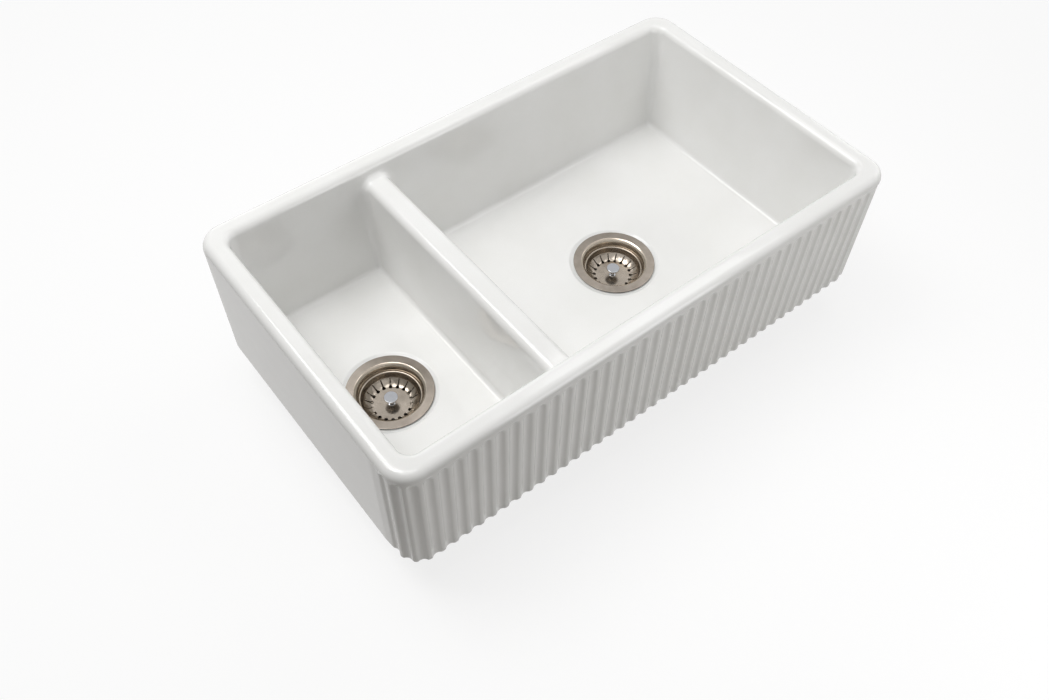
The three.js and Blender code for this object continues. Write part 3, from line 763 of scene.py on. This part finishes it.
def softened(corners, steps=4):
    """A closed outline from (radius, height, rounding) corners: each corner becomes a short curve
    p = (1-t)^2 a + 2t(1-t) corner + t^2 b between points a and b on its two sides."""
    corners = np.array(corners, float)
    places = corners[:, :2]
    outline = []
    for i, (place, rounding) in enumerate(zip(places, corners[:, 2])):
        before, after = places[i - 1], places[(i + 1) % len(places)]
        if rounding == 0:
            outline.append(place)
            continue
        ends = []
        for other in (before, after):
            length = np.hypot(*(other - place))
            ends.append(place + (other - place) * min(rounding / length, 0.45))
        for t in np.linspace(0, 1, steps + 1):
            outline.append((1 - t) ** 2 * ends[0] + 2 * t * (1 - t) * place + t ** 2 * ends[1])
    return np.array(outline)


def turned(name, outline, drain, sides=TURNED_SIDES, twist=None):
    """A closed outline of (radius, height) points, counter-clockwise, turned about a drain's axis.
    twist(radius, height, angle) may give a changed radius."""
    angle = np.linspace(0, 2 * math.pi, sides, endpoint=False)
    radius = np.repeat(outline[:, 0][:, None], sides, axis=1)
    height = np.repeat(outline[:, 1][:, None], sides, axis=1)
    if twist is not None:
        radius = twist(radius, height, angle[None, :])
    x = drain[0] + radius * np.cos(angle)
    y = drain[1] + radius * np.sin(angle)
    grid = np.stack([x, y, height], axis=-1)
    skin = Skin()
    skin.add_grid(np.concatenate([grid, grid[:1]]), closed=True)
    return skin.mesh(name)


def washer(inner, outer, bottom, thickness, rounding):
    """Outline of a flat ring with softened edges."""
    top = bottom + thickness
    return softened([
        (inner, top, rounding), (inner, bottom, rounding), (outer, bottom, rounding), (outer, top, rounding),
    ])


def add_turned(kind, outline, material, cad_node, on_basket=False, sides=SMALL_SIDES, twist=None):
    """The same turned piece for each bowl. It rides on the bowl's basket or on the sink."""
    for side, drain in DRAINS.items():
        name = f"{side}_{kind}"
        mesh = turned(name, outline, drain, sides, twist)
        body = f"{side}_bowl_basket" if on_basket else "sink"
        add_piece(name, mesh, material, body, [f"{side}_{cad_node}"])


def rubber():
    """Black moulded rubber: dull and nearly black, greyed by a dusty bloom."""
    material, tree = new_material("black_rubber")
    place = node(tree, "TexCoord").outputs["Object"]
    bloom = wander(tree, place, 5, 0, 1, detail=4)
    links = {FACTOR: bloom, FIRST: srgb("#1a1a1b"), SECOND: srgb("#2b2b2b")}
    colour = node(tree, "Mix", links, data_type="RGBA")
    rough = wander(tree, place, 2, 0.6, 0.8)
    skin = relief(tree, place, 0.8, 0.02, detail=3)
    finish_surface(tree, IOR=1.5, Base_Color=colour.outputs[MIXED], Roughness=rough, Normal=skin)
    return material


BLACK_RUBBER = rubber()
seal = washer(SEAL_INNER, SEAL_OUTER, RECESS_Z + GAP, SEAL_THICKNESS, 0.3)
gasket = washer(GASKET_INNER, GASKET_OUTER, GASKET_TOP - GASKET_THICKNESS, GASKET_THICKNESS, 0.4)
add_turned("cup_seal", seal, BLACK_RUBBER, "flange_seal")
add_turned("gasket", gasket, BLACK_RUBBER, "underside_gasket")


# ------------------------------------------------------------------------------------------------
# Strainer cups
#
# Deep cups with a wide flange, pressed and spun from thin stainless sheet. The flange lies in the
# recess on its seal. It is brushed satin. The inside of the cup is buffed smoother, and it is also
# painted a lighter tone there: a painted reflection that stands in for the light on its walls.

SHEET = 0.9
FLANGE_TOP = RECESS_Z + SEAL_THICKNESS + 2 * GAP + SHEET
FLANGE_RADIUS = 60
FLANGE_INNER = 48.5
FLANGE_LIP = 0.8  # radius of the small curve at the flange's inner edge
FLANGE_LIP_TURN = 22  # degrees that it turns down through
CUP_WALL = 43.4
CUP_FOOT = 39.5
CUP_FOOT_ROUNDING = 4
CUP_WALL_TOP = FLANGE_TOP - 14
CUP_SEAT_Z = FLANGE_TOP - 36
CUP_HUB_Z = CUP_SEAT_Z - 5.6
CUP_BORE = 6.3


def arc_points(centre, radius, start, end, steps):
    """Points on an arc of the (radius, height) plane, angles in degrees."""
    angle = np.radians(np.linspace(start, end, steps + 1))
    return np.column_stack([centre[0] + radius * np.cos(angle), centre[1] + radius * np.sin(angle)])


def cup_outline():
    """Pressed cup: inside going down from the flange, outside coming back up."""
    lip, lip_turn, foot = FLANGE_LIP, FLANGE_LIP_TURN, CUP_FOOT_ROUNDING
    sine, cosine = math.sin(math.radians(lip_turn)), math.cos(math.radians(lip_turn))
    roll = (FLANGE_INNER - CUP_WALL - lip * sine) / (1 - sine)
    roll_centre = (CUP_WALL + roll, FLANGE_TOP - lip * (1 - cosine) - roll * cosine)
    foot_centre = (CUP_FOOT - foot, CUP_SEAT_Z + foot)
    inside = np.concatenate([
        [[FLANGE_RADIUS - SHEET, FLANGE_TOP - 0.02]],
        arc_points((FLANGE_INNER, FLANGE_TOP - lip), lip, 90, 90 + lip_turn, 5),
        arc_points(roll_centre, roll, 90 + lip_turn, 180, 14)[1:],
        [[CUP_WALL, CUP_WALL_TOP]],
        arc_points(foot_centre, foot, 0, -90, 8),
        [[20.5, CUP_SEAT_Z], [19.6, CUP_SEAT_Z - 0.4], [17.3, CUP_HUB_Z + 0.4]],
        [[16.5, CUP_HUB_Z], [CUP_BORE, CUP_HUB_Z]],
    ])
    outside = np.concatenate([
        [[CUP_BORE, CUP_HUB_Z - SHEET], [17.2, CUP_HUB_Z - SHEET], [20.4, CUP_SEAT_Z - SHEET]],
        arc_points(foot_centre, foot + SHEET, -90, 0, 8),
        [[CUP_WALL + SHEET, CUP_WALL_TOP]],
        arc_points(roll_centre, roll - SHEET, 180, 90 + lip_turn, 10),
        [[FLANGE_RADIUS - 0.6, FLANGE_TOP - SHEET]],
        arc_points((FLANGE_RADIUS - SHEET / 2, FLANGE_TOP - SHEET / 2), SHEET / 2, -80, 80, 6),
    ])
    return np.concatenate([inside, outside])


def lathe_place(tree, centre):
    """For marks that run round an axis: the place as radius and height, and the way round it."""
    links = {0: node(tree, "TexCoord").outputs["Object"], 1: (*centre, 0)}
    moved = node(tree, "VectorMath", links, operation="SUBTRACT").outputs[0]
    parts = node(tree, "SeparateXYZ", {0: moved})
    flat = node(tree, "CombineXYZ", {0: parts.outputs[0], 1: parts.outputs[1]}).outputs[0]
    radius = node(tree, "VectorMath", {0: flat}, operation="LENGTH").outputs["Value"]
    links = {0: (0, 0, 1), 1: flat}
    way_round = node(tree, "VectorMath", links, operation="CROSS_PRODUCT").outputs[0]
    place = node(tree, "CombineXYZ", {0: radius, 1: parts.outputs[2]}).outputs[0]
    return place, radius, node(tree, "VectorMath", {0: way_round}, operation="NORMALIZE").outputs[0]


LINE_SPACING = 0.55  # the real lines are finer, and are drawn this coarse to show
BUFF_AND_LIGHT_EDGE = 0.4  # half the width over which the buffing and the painted lighter tone start


def lathe_steel(name, drain, light, dark, rough_low, rough_high, line_depth, buffed_and_painted_light_within=0.0):
    """Stainless steel spun on a lathe: fine rings round its axis, which draw highlights out into
    streaks across them. Within a radius in millimetres it is buffed smoother, and painted lighter
    there: a painted reflection that stands in for the light on the buffed steel."""
    material, tree = new_material(name)
    rings, radius, way_round = lathe_place(tree, [c * MM for c in drain])
    start, end = (buffed_and_painted_light_within - BUFF_AND_LIGHT_EDGE) * MM, (buffed_and_painted_light_within + BUFF_AND_LIGHT_EDGE) * MM
    buff_and_painted_light = node(tree, "MapRange", {"Value": radius, "From Min": start, "From Max": end}).outputs["Result"]
    cloud = wander(tree, node(tree, "TexCoord").outputs["Object"], 14, 0, 1, detail=3)
    brushed = node(tree, "Mix", {FACTOR: cloud, FIRST: srgb(light), SECOND: srgb(dark)}, data_type="RGBA")
    # The inside colour #b3a99c is painted light: a lighter tone that stands in for the light the cup's inner
    # walls reflect.
    links = {FACTOR: buff_and_painted_light, FIRST: srgb("#b3a99c"), SECOND: brushed.outputs[MIXED]}
    colour = node(tree, "Mix", links, data_type="RGBA")
    lines = wander(tree, rings, LINE_SPACING, rough_low, rough_high, detail=4, roughness=0.75)
    dulling = node(tree, "MapRange", {"Value": buff_and_painted_light, "To Min": 0.5}).outputs["Result"]
    finish_surface(
        tree, Metallic=1.0, Anisotropic=0.6, Base_Color=colour.outputs[MIXED],
        Roughness=node(tree, "Math", {0: lines, 1: dulling}, operation="MULTIPLY").outputs[0],
        Tangent=way_round,
        Normal=relief(tree, rings, LINE_SPACING, line_depth, detail=4, roughness=0.75),
    )
    return material


for side, drain in DRAINS.items():
    # Inside FLANGE_INNER the cup is buffed smoother, and also gets a painted lighter tone that stands in for
    # reflected light.
    satin = lathe_steel(
        f"{side}_satin_steel", drain, "#978f86", "#867e75", 0.26, 0.38, 0.012,
        buffed_and_painted_light_within=FLANGE_INNER,
    )
    cup = turned(f"{side}_cup", cup_outline(), drain)
    add_piece(f"{side}_cup", cup, satin, "sink", [f"{side}_strainer_cup"])


# ------------------------------------------------------------------------------------------------
# Waste housings
#
# White polypropylene, moulded: a funnel that gathers the water into a threaded outlet. It is
# drawn up against the gasket from below, and a pipe screws on to its outlet.

HOUSING_TOP = GASKET_SEAT_DEPTH - GAP - GASKET_THICKNESS - GAP
HOUSING_FLANGE = 5
HOUSING_FLANGE_RADIUS = 54
HOUSING_RADIUS = 48
HOUSING_BORE = 45
HOUSING_TAPER = 1  # that the bore and the outside draw in by down to the cone
HOUSING_CONE_TOP = HOUSING_TOP - 18
HOUSING_CONE_FOOT = HOUSING_CONE_TOP - 27
OUTLET_Z = HOUSING_CONE_FOOT - 27
SPIGOT_RADIUS = 23.9
SPIGOT_BORE = 19.9
OUTLET_BEVEL = 0.5
OUTLET_BEVEL_HEIGHT = 0.8
THREAD_PITCH = 2.3
THREAD_HALF_DEPTH = 0.55
THREAD_ROWS = 0.28  # height between the rows of the mesh on the thread


def thread_twist(low, high):
    """A round thread between two heights: the radius drops by half_depth (1 - cos(2 pi z / pitch -
    angle)), eased out over one pitch at both ends."""
    def twist(radius, height, angle):
        """The radius at a height and an angle, less the thread's hollow there."""
        phase = 2 * math.pi * height / THREAD_PITCH - angle
        fade = np.clip(np.minimum(height - low, high - height) / THREAD_PITCH, 0, 1)
        outside = np.abs(radius - SPIGOT_RADIUS) < OUTLET_BEVEL
        return radius - THREAD_HALF_DEPTH * (1 - np.cos(phase)) * fade * outside
    return twist


def housing_outline():
    """Waste housing: inside going down to the outlet, outside with its thread coming back up."""
    heights = np.arange(OUTLET_Z + OUTLET_BEVEL_HEIGHT, HOUSING_CONE_FOOT - 4, THREAD_ROWS)
    thread = [(SPIGOT_RADIUS, z) for z in heights]
    inside = softened([
        (HOUSING_BORE, HOUSING_TOP, 0.3), (HOUSING_BORE - HOUSING_TAPER, HOUSING_CONE_TOP, 3),
        (SPIGOT_BORE, HOUSING_CONE_FOOT, 3), (SPIGOT_BORE, OUTLET_Z, 0.4),
        (SPIGOT_RADIUS - OUTLET_BEVEL, OUTLET_Z, 0.4),
    ])
    outside = softened([
        (SPIGOT_RADIUS, OUTLET_Z + OUTLET_BEVEL_HEIGHT, 0), (SPIGOT_RADIUS, HOUSING_CONE_FOOT - 3.4, 0.5),
        (HOUSING_RADIUS - HOUSING_TAPER, HOUSING_CONE_TOP - 1.5, 3),
        (HOUSING_RADIUS, HOUSING_TOP - HOUSING_FLANGE, 1),
        (HOUSING_FLANGE_RADIUS, HOUSING_TOP - HOUSING_FLANGE, 0.6), (HOUSING_FLANGE_RADIUS, HOUSING_TOP, 0.6),
    ])
    return np.concatenate([inside, thread, outside[1:]])


def moulded_plastic():
    """White polypropylene with the fine spark texture of its mould and faint flow clouds."""
    material, tree = new_material("white_polypropylene")
    place = node(tree, "TexCoord").outputs["Object"]
    flow = wander(tree, place, 25, 0, 1, detail=3)
    links = {FACTOR: flow, FIRST: srgb("#e6e5e0"), SECOND: srgb("#dcdbd5")}
    colour = node(tree, "Mix", links, data_type="RGBA")
    rough = wander(tree, place, 4, 0.38, 0.5)
    sparks = relief(tree, place, 0.5, 0.015)
    finish_surface(tree, IOR=1.49, Base_Color=colour.outputs[MIXED], Roughness=rough, Normal=sparks)
    return material


thread = thread_twist(OUTLET_Z + 1, HOUSING_CONE_FOOT - 4)
add_turned(
    "waste", housing_outline(), moulded_plastic(), "waste_housing",
    sides=TURNED_SIDES, twist=thread,
)


# ------------------------------------------------------------------------------------------------
# Clamping screws and their inserts
#
# A plated screw goes down through the cup's hub into a turned brass insert in the housing, and
# pulls the two together. The stem of the basket stands in the socket of its head.

SCREW_HEAD = 2.4
SCREW_BODY = 15
SCREW_TIP = 13
SCREW_HEAD_RADIUS = 8.5
SCREW_RADIUS = 6
SCREW_SOCKET = 4.2
SCREW_TOP = CUP_HUB_Z + GAP + SCREW_HEAD
SCREW_BODY_END = SCREW_TOP - SCREW_HEAD - SCREW_BODY
INSERT_INNER = 4.3
INSERT_OUTER = 7
INSERT_LENGTH = 11


def screw_outline():
    """Clamping screw: the tip, the threaded end, the body and the head with its socket."""
    thread = [(4 - 0.25 * (i % 2), SCREW_BODY_END - 12.4 + 0.5 * i, 0) for i in range(24)]
    return softened([
        (0, SCREW_BODY_END - SCREW_TIP, 0), (3.2, SCREW_BODY_END - SCREW_TIP, 0.3), *thread,
        (SCREW_RADIUS, SCREW_BODY_END, 0.4), (SCREW_RADIUS, SCREW_TOP - SCREW_HEAD, 0.2),
        (SCREW_HEAD_RADIUS, SCREW_TOP - SCREW_HEAD, 0.3), (SCREW_HEAD_RADIUS, SCREW_TOP, 0.7),
        (SCREW_SOCKET, SCREW_TOP, 0.4), (SCREW_SOCKET, SCREW_TOP - SCREW_BODY, 0.5),
        (0, SCREW_TOP - SCREW_BODY - 1, 0),
    ])


def chrome():
    """Polished chrome plate: a clear, cool mirror with faint rubbing marks."""
    material, tree = new_material("polished_chrome")
    place = node(tree, "TexCoord").outputs["Object"]
    cloud = node(tree, "TexNoise", grain(place, 6, detail=3)).outputs["Fac"]
    links = {FACTOR: cloud, FIRST: srgb("#b2b4b8"), SECOND: srgb("#a6a8ac")}
    colour = node(tree, "Mix", links, data_type="RGBA")
    marks = wander(tree, place, 1.5, 0.05, 0.14, detail=4)
    finish_surface(tree, Metallic=1.0, Base_Color=colour.outputs[MIXED], Roughness=marks)
    return material


def turned_brass():
    """Machined brass: warm yellow, with the dull grain that the cutter leaves."""
    material, tree = new_material("machined_brass")
    place = node(tree, "TexCoord").outputs["Object"]
    cloud = node(tree, "TexNoise", grain(place, 3, detail=4)).outputs["Fac"]
    links = {FACTOR: cloud, FIRST: srgb("#c5a45c"), SECOND: srgb("#a98a48")}
    colour = node(tree, "Mix", links, data_type="RGBA")
    rough = wander(tree, place, 0.7, 0.25, 0.4, detail=3)
    cuts = relief(tree, place, 0.6, 0.01, detail=3)
    finish_surface(tree, Metallic=1.0, Base_Color=colour.outputs[MIXED], Roughness=rough, Normal=cuts)
    return material


POLISHED_PLATE = chrome()
insert = washer(INSERT_INNER, INSERT_OUTER, SCREW_BODY_END - GAP - INSERT_LENGTH, INSERT_LENGTH, 0.4)
add_turned("brass_insert", insert, turned_brass(), "housing_insert")
add_turned("screw", screw_outline(), POLISHED_PLATE, "clamp_screw")


# ------------------------------------------------------------------------------------------------
# Baskets
#
# Pressed from stainless sheet: a flat floor, a cone with eighteen slots, and a band that ends in a
# bead. Each slot starts in a punched round eye. The basket lifts out of its cup.

BASKET_SHEET = 0.8
BASKET_FLOOR_Z = FLANGE_TOP - 28.8
BASKET_RIM_Z = FLANGE_TOP - 12.4
SLOTS = 18
EYE_CENTRE = 27
EYE_RADIUS = 2.4
SLIT_HALF = 0.5
SLIT_FLARE = 0.5  # the slit is this much wider, each side, at the eye
SLOT_END = 38.2


def slot_half_width(radius):
    """Half width of a slot at a radius: a round eye, and a slit that narrows to a round end."""
    eye = np.sqrt(np.maximum(EYE_RADIUS ** 2 - (radius - EYE_CENTRE) ** 2, 0))
    taper = np.clip((radius - EYE_CENTRE) / (SLOT_END - EYE_CENTRE), 0, 1)
    slit = np.where(radius > EYE_CENTRE, SLIT_HALF + SLIT_FLARE * (1 - taper) ** 2, 0)
    end = np.sqrt(np.maximum(1 - (np.maximum(radius - SLOT_END + SLIT_HALF, 0) / SLIT_HALF) ** 2, 0))
    return np.maximum(eye, slit * end) * (radius <= SLOT_END)


CONE_START = 27
CONE_BEND = 2.0
CONE_ANGLE = math.radians(33.7)
CONE_SAG = 0.6  # the cone is pressed slightly hollow
CONE_END = 37.6


def sheet_height(radius):
    """Height of the floor and cone: flat, a bend b - sqrt(b^2 - r^2), and a line with a sag of
    4 s t (1 - t)."""
    past = np.maximum(radius - CONE_START, 0)
    bend_run = CONE_BEND * math.sin(CONE_ANGLE)
    bend = CONE_BEND - np.sqrt(CONE_BEND ** 2 - np.minimum(past, bend_run) ** 2)
    along = np.maximum(past - bend_run, 0)
    share = np.clip(along / (CONE_END - CONE_START - bend_run), 0, 1)
    return BASKET_FLOOR_Z + bend + along * math.tan(CONE_ANGLE) - 4 * CONE_SAG * share * (1 - share)


def basket_profile():
    """The basket's sheet from its hole out over the floor, up the cone and band to the bead."""
    inner_eye = EYE_CENTRE - EYE_RADIUS * np.cos(np.linspace(0, math.pi / 2, 7))
    outer_eye = EYE_CENTRE + EYE_RADIUS * np.sin(np.linspace(0, math.pi / 2, 8)[1:])
    cone_rows = np.linspace(EYE_CENTRE + EYE_RADIUS, CONE_END, 13)[1:]
    floor_rows = [3.4, 3.8, 5, 8, 12, 16, 20, 22.5, 23.6]
    radius = np.concatenate([floor_rows, inner_eye, outer_eye, cone_rows])
    floor_and_cone = np.column_stack([radius, sheet_height(radius)])
    band = [(38.2, BASKET_FLOOR_Z + 7.15), (38.7, BASKET_FLOOR_Z + 7.8), (39.1, BASKET_FLOOR_Z + 8.7),
            (39.4, BASKET_FLOOR_Z + 9.9), (40.1, BASKET_FLOOR_Z + 13), (40.7, BASKET_RIM_Z - 1.2)]
    bead = arc_points((41.75, BASKET_RIM_Z - 1.05), 1.0, 165, -30, 12)
    return np.concatenate([floor_and_cone, band, bead])


SLAT_PUFF = 0.45  # the slats between the slots are pressed slightly hollow across as well
SLAT_STEPS = 5
SEAM_HALF = 0.22  # half width of the slot's column where there is no slot
SLOT_OPEN = 0.02  # half width from which a slot is open
WIDEST_SLOT = 0.42  # of the turn from one slot to the next


def basket_mesh(name, drain):
    """A polar grid of the basket's sheet whose columns follow the slots' edges. The faces inside
    the slots are left out."""
    profile = basket_profile()
    sector = 2 * math.pi / SLOTS
    half = slot_half_width(profile[:, 0])
    open_row = half > SLOT_OPEN
    edge = np.maximum(half, SEAM_HALF) / profile[:, 0]
    edge = np.minimum(edge, sector * WIDEST_SLOT)
    right = edge[:, None] + np.linspace(0, 1, SLAT_STEPS + 1) * (sector / 2 - edge[:, None])
    local = np.concatenate([-right[:, ::-1], right[:, :-1]], axis=1)
    per_sector = local.shape[1]
    slot_column = right.shape[1] - 1
    angle = np.concatenate([number * sector + local for number in range(SLOTS)], axis=1)
    radius = profile[:, 0][:, None]
    across = np.abs(np.sin(angle * SLOTS / 2))
    inward = np.clip((profile[:, 0] - CONE_START) / 5, 0, 1)
    rise = inward * np.clip((CONE_END + 2 - profile[:, 0]) / 3, 0, 1)
    height = profile[:, 1][:, None] - SLAT_PUFF * across * rise[:, None]
    x = drain[0] + radius * np.cos(angle)
    y = drain[1] + radius * np.sin(angle)
    grid = np.stack([x, y, height], axis=-1)
    skin = Skin()
    skin.add_grid(grid, closed=True)
    columns = angle.shape[1]
    kept = []
    for at, face in enumerate(skin.faces):
        row, column = divmod(at, columns)
        in_slot = column % per_sector == slot_column
        if in_slot and open_row[row] and open_row[row + 1]:
            continue
        kept.append(face)
    skin.faces = kept
    return skin.mesh(name)


for side, drain in DRAINS.items():
    bright = lathe_steel(f"{side}_bright_steel", drain, "#a89f94", "#978e83", 0.15, 0.24, 0.004)
    name = f"{side}_slotted_basket"
    body = f"{side}_bowl_basket"
    basket = add_piece(name, basket_mesh(name, drain), bright, body, [f"{side}_basket"])
    sheet = basket.modifiers.new("sheet", "SOLIDIFY")
    sheet.thickness = BASKET_SHEET * MM
    sheet.offset = -1
    basket.modifiers.move(1, 0)


# ------------------------------------------------------------------------------------------------
# Knobs and stems
#
# One turned piece with a polished plate: a flat knob to lift the basket by, a collar that rests on
# the basket's floor, and a stem that goes through the plug into the screw's socket.

KNOB_HEIGHT = 15.3
KNOB_SIDES = 72
STEM_TIP_Z = -28
STEM_SHOULDER_Z = -14  # the tip below it is thinner and holds the spring sleeve
STEM_RADIUS = 3
STEM_TIP_RADIUS = 2.4
COLLAR_RADIUS = 5.2
KNOB_RADIUS = 9.6


def stem_outline():
    """Knob, stem and collar, from the tip up."""
    knob_top = BASKET_FLOOR_Z + KNOB_HEIGHT
    return softened([
        (0, STEM_TIP_Z, 0), (STEM_TIP_RADIUS, STEM_TIP_Z, 0.4), (STEM_TIP_RADIUS, STEM_SHOULDER_Z, 0.1),
        (STEM_RADIUS, STEM_SHOULDER_Z, 0.1), (STEM_RADIUS, BASKET_FLOOR_Z + GAP, 0),
        (COLLAR_RADIUS, BASKET_FLOOR_Z + GAP, 0.2), (COLLAR_RADIUS, BASKET_FLOOR_Z + 1.7, 0.5),
        (2.6, BASKET_FLOOR_Z + 2.6, 0.5), (2.4, knob_top - 3.6, 1.0), (5.0, knob_top - 2.5, 0.8),
        (9.3, knob_top - 2.2, 0.5), (KNOB_RADIUS, knob_top - 1.1, 0.5), (9.2, knob_top, 0.45),
        (0, knob_top, 0),
    ], steps=5)


add_turned(
    "knob", stem_outline(), POLISHED_PLATE, "basket_stem",
    on_basket=True, sides=KNOB_SIDES,
)


# ------------------------------------------------------------------------------------------------
# Plugs
#
# Black moulded rubber under each basket. When the basket is pushed down, the lip of the plug
# seals on the floor of the cup.

PLUG_TOP = BASKET_FLOOR_Z - BASKET_SHEET - GAP
PLUG_BOTTOM = CUP_SEAT_Z + GAP
PLUG_BORE = 3.3
PLUG_LIP_RADIUS = 23
PLUG_HUB_RADIUS = 12


def plug_outline():
    """Rubber plug: its hub, and the lip that seals on the cup's seat."""
    return softened([
        (PLUG_BORE, PLUG_TOP, 0.2), (PLUG_BORE, PLUG_BOTTOM, 0.2),
        (PLUG_LIP_RADIUS - 1, PLUG_BOTTOM, 0.8), (PLUG_LIP_RADIUS, PLUG_BOTTOM + 1, 0.8),
        (PLUG_LIP_RADIUS, PLUG_BOTTOM + 2, 0.8), (PLUG_HUB_RADIUS + 1, PLUG_BOTTOM + 3, 1.2),
        (PLUG_HUB_RADIUS, PLUG_TOP, 0.5),
    ])


add_turned("plug", plug_outline(), BLACK_RUBBER, "basket_plug", on_basket=True)


# ------------------------------------------------------------------------------------------------
# Plug retainers and stem clips
#
# A plated nut holds the plug on its stem, and a split spring sleeve grips the screw's socket.
# Both are hidden, and their solids carry over from the frame with the plated finish.

for side in DRAINS:
    for cad_node in ("plug_retainer", "stem_clip"):
        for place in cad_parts[f"{side}_{cad_node}"].material_slots:
            place.material = POLISHED_PLATE


# ------------------------------------------------------------------------------------------------
# Floor, light and background
#
# The studio: a plain pale floor on which the outlets stand, large soft lamps above and around the
# sink, and a white background. None of it is part of the object.

STAGE_Z = OUTLET_Z * MM - 0.0005
STAGE_REACH = 30.0
FLOOR_GLOW = 0.8  # share of its own white in what the camera sees of the floor


def seen_directly(tree):
    """1 for what the camera sees straight, in a reflection or through glass, 0 for light's own way."""
    path = node(tree, "LightPath").outputs
    links = {0: path["Is Camera Ray"], 1: path["Is Glossy Ray"]}
    glossy = node(tree, "Math", links, operation="MAXIMUM")
    links = {0: glossy.outputs[0], 1: path["Is Transmission Ray"]}
    return node(tree, "Math", links, operation="MAXIMUM").outputs[0]


def floor_material():
    """A pale floor: near white to the camera and in reflections, with the object's soft shadow, and
    a warm grey for the light that it throws back."""
    material, tree = new_material("pale_floor")
    seen = seen_directly(tree)
    links = {FACTOR: seen, FIRST: srgb("#8f8a82"), SECOND: srgb("#ffffff")}
    colour = node(tree, "Mix", links, data_type="RGBA")
    shader = finish_surface(tree, Roughness=0.9, Base_Color=colour.outputs[MIXED])
    share = node(tree, "Math", {0: seen, 1: FLOOR_GLOW}, operation="MULTIPLY")
    glow = node(tree, "Emission", {"Color": (1, 1, 1, 1), "Strength": 1.0})
    mix = node(tree, "MixShader", {0: share.outputs[0], 1: shader.outputs[0], 2: glow.outputs[0]})
    tree.links.new(mix.outputs[0], tree.nodes["Material Output"].inputs["Surface"])
    return material


floor_mesh = bpy.data.meshes.new("floor")
corners = [(-1, -1), (1, -1), (1, 1), (-1, 1)]
floor_mesh.from_pydata([(x * STAGE_REACH, y * STAGE_REACH, STAGE_Z) for x, y in corners], [], [(0, 1, 2, 3)])
floor_mesh.materials.append(floor_material())
floor = bpy.data.objects.new("floor", floor_mesh)
bpy.context.collection.objects.link(floor)

LIT_POINT = (0.0, 0.0, 0.1)
LAMP_DISTANCE = 2.0
LAMP_SIZE = 1.1
FILL_SIZE = 0.6


def softbox(name, place, target, size_x, size_y, power, colour="#ffffff"):
    """A rectangular area light that faces a point."""
    data = bpy.data.lights.new(name, "AREA")
    data.shape = "RECTANGLE"
    data.size = size_x
    data.size_y = size_y
    data.energy = power
    data.color = srgb(colour)[:3]
    lamp = bpy.data.objects.new(name, data)
    lamp.location = place
    lamp.rotation_euler = (Vector(target) - Vector(place)).to_track_quat("-Z", "Y").to_euler()
    bpy.context.collection.objects.link(lamp)


def aimed(name, elevation, azimuth, power):
    """A softbox at an angle above the floor and an angle round from the front towards the right."""
    e, a = math.radians(elevation), math.radians(azimuth)
    way = Vector((math.cos(e) * math.sin(a), -math.cos(e) * math.cos(a), math.sin(e)))
    place = Vector(LIT_POINT) + LAMP_DISTANCE * way
    softbox(name, place, LIT_POINT, LAMP_SIZE, LAMP_SIZE, power)


aimed("overhead", 75, 270, 8.8)
aimed("back_left", 62, 225, 20)
aimed("right", 20, 92, 4.5)
aimed("back", 20, 172, 3.5)
softbox("front", (0.4, -1.15, 0.45), LIT_POINT, FILL_SIZE, FILL_SIZE, 3.6)
softbox("large_bowl", (0.55, 0.1, 1.1), (0.3, 0.05, 0.1), FILL_SIZE, FILL_SIZE, 2.0)

world = bpy.data.worlds.new("studio")
bpy.context.scene.world = world
world.use_nodes = True
tree = world.node_tree
background = tree.nodes["Background"]
background.inputs["Color"].default_value = srgb("#f2f1ef")
background.inputs["Strength"].default_value = 0.18
white = node(tree, "Background", {"Color": (1, 1, 1, 1), "Strength": 1.0})
mix = node(tree, "MixShader", {0: seen_directly(tree), 1: background.outputs[0], 2: white.outputs[0]})
tree.links.new(mix.outputs[0], tree.nodes["World Output"].inputs["Surface"])
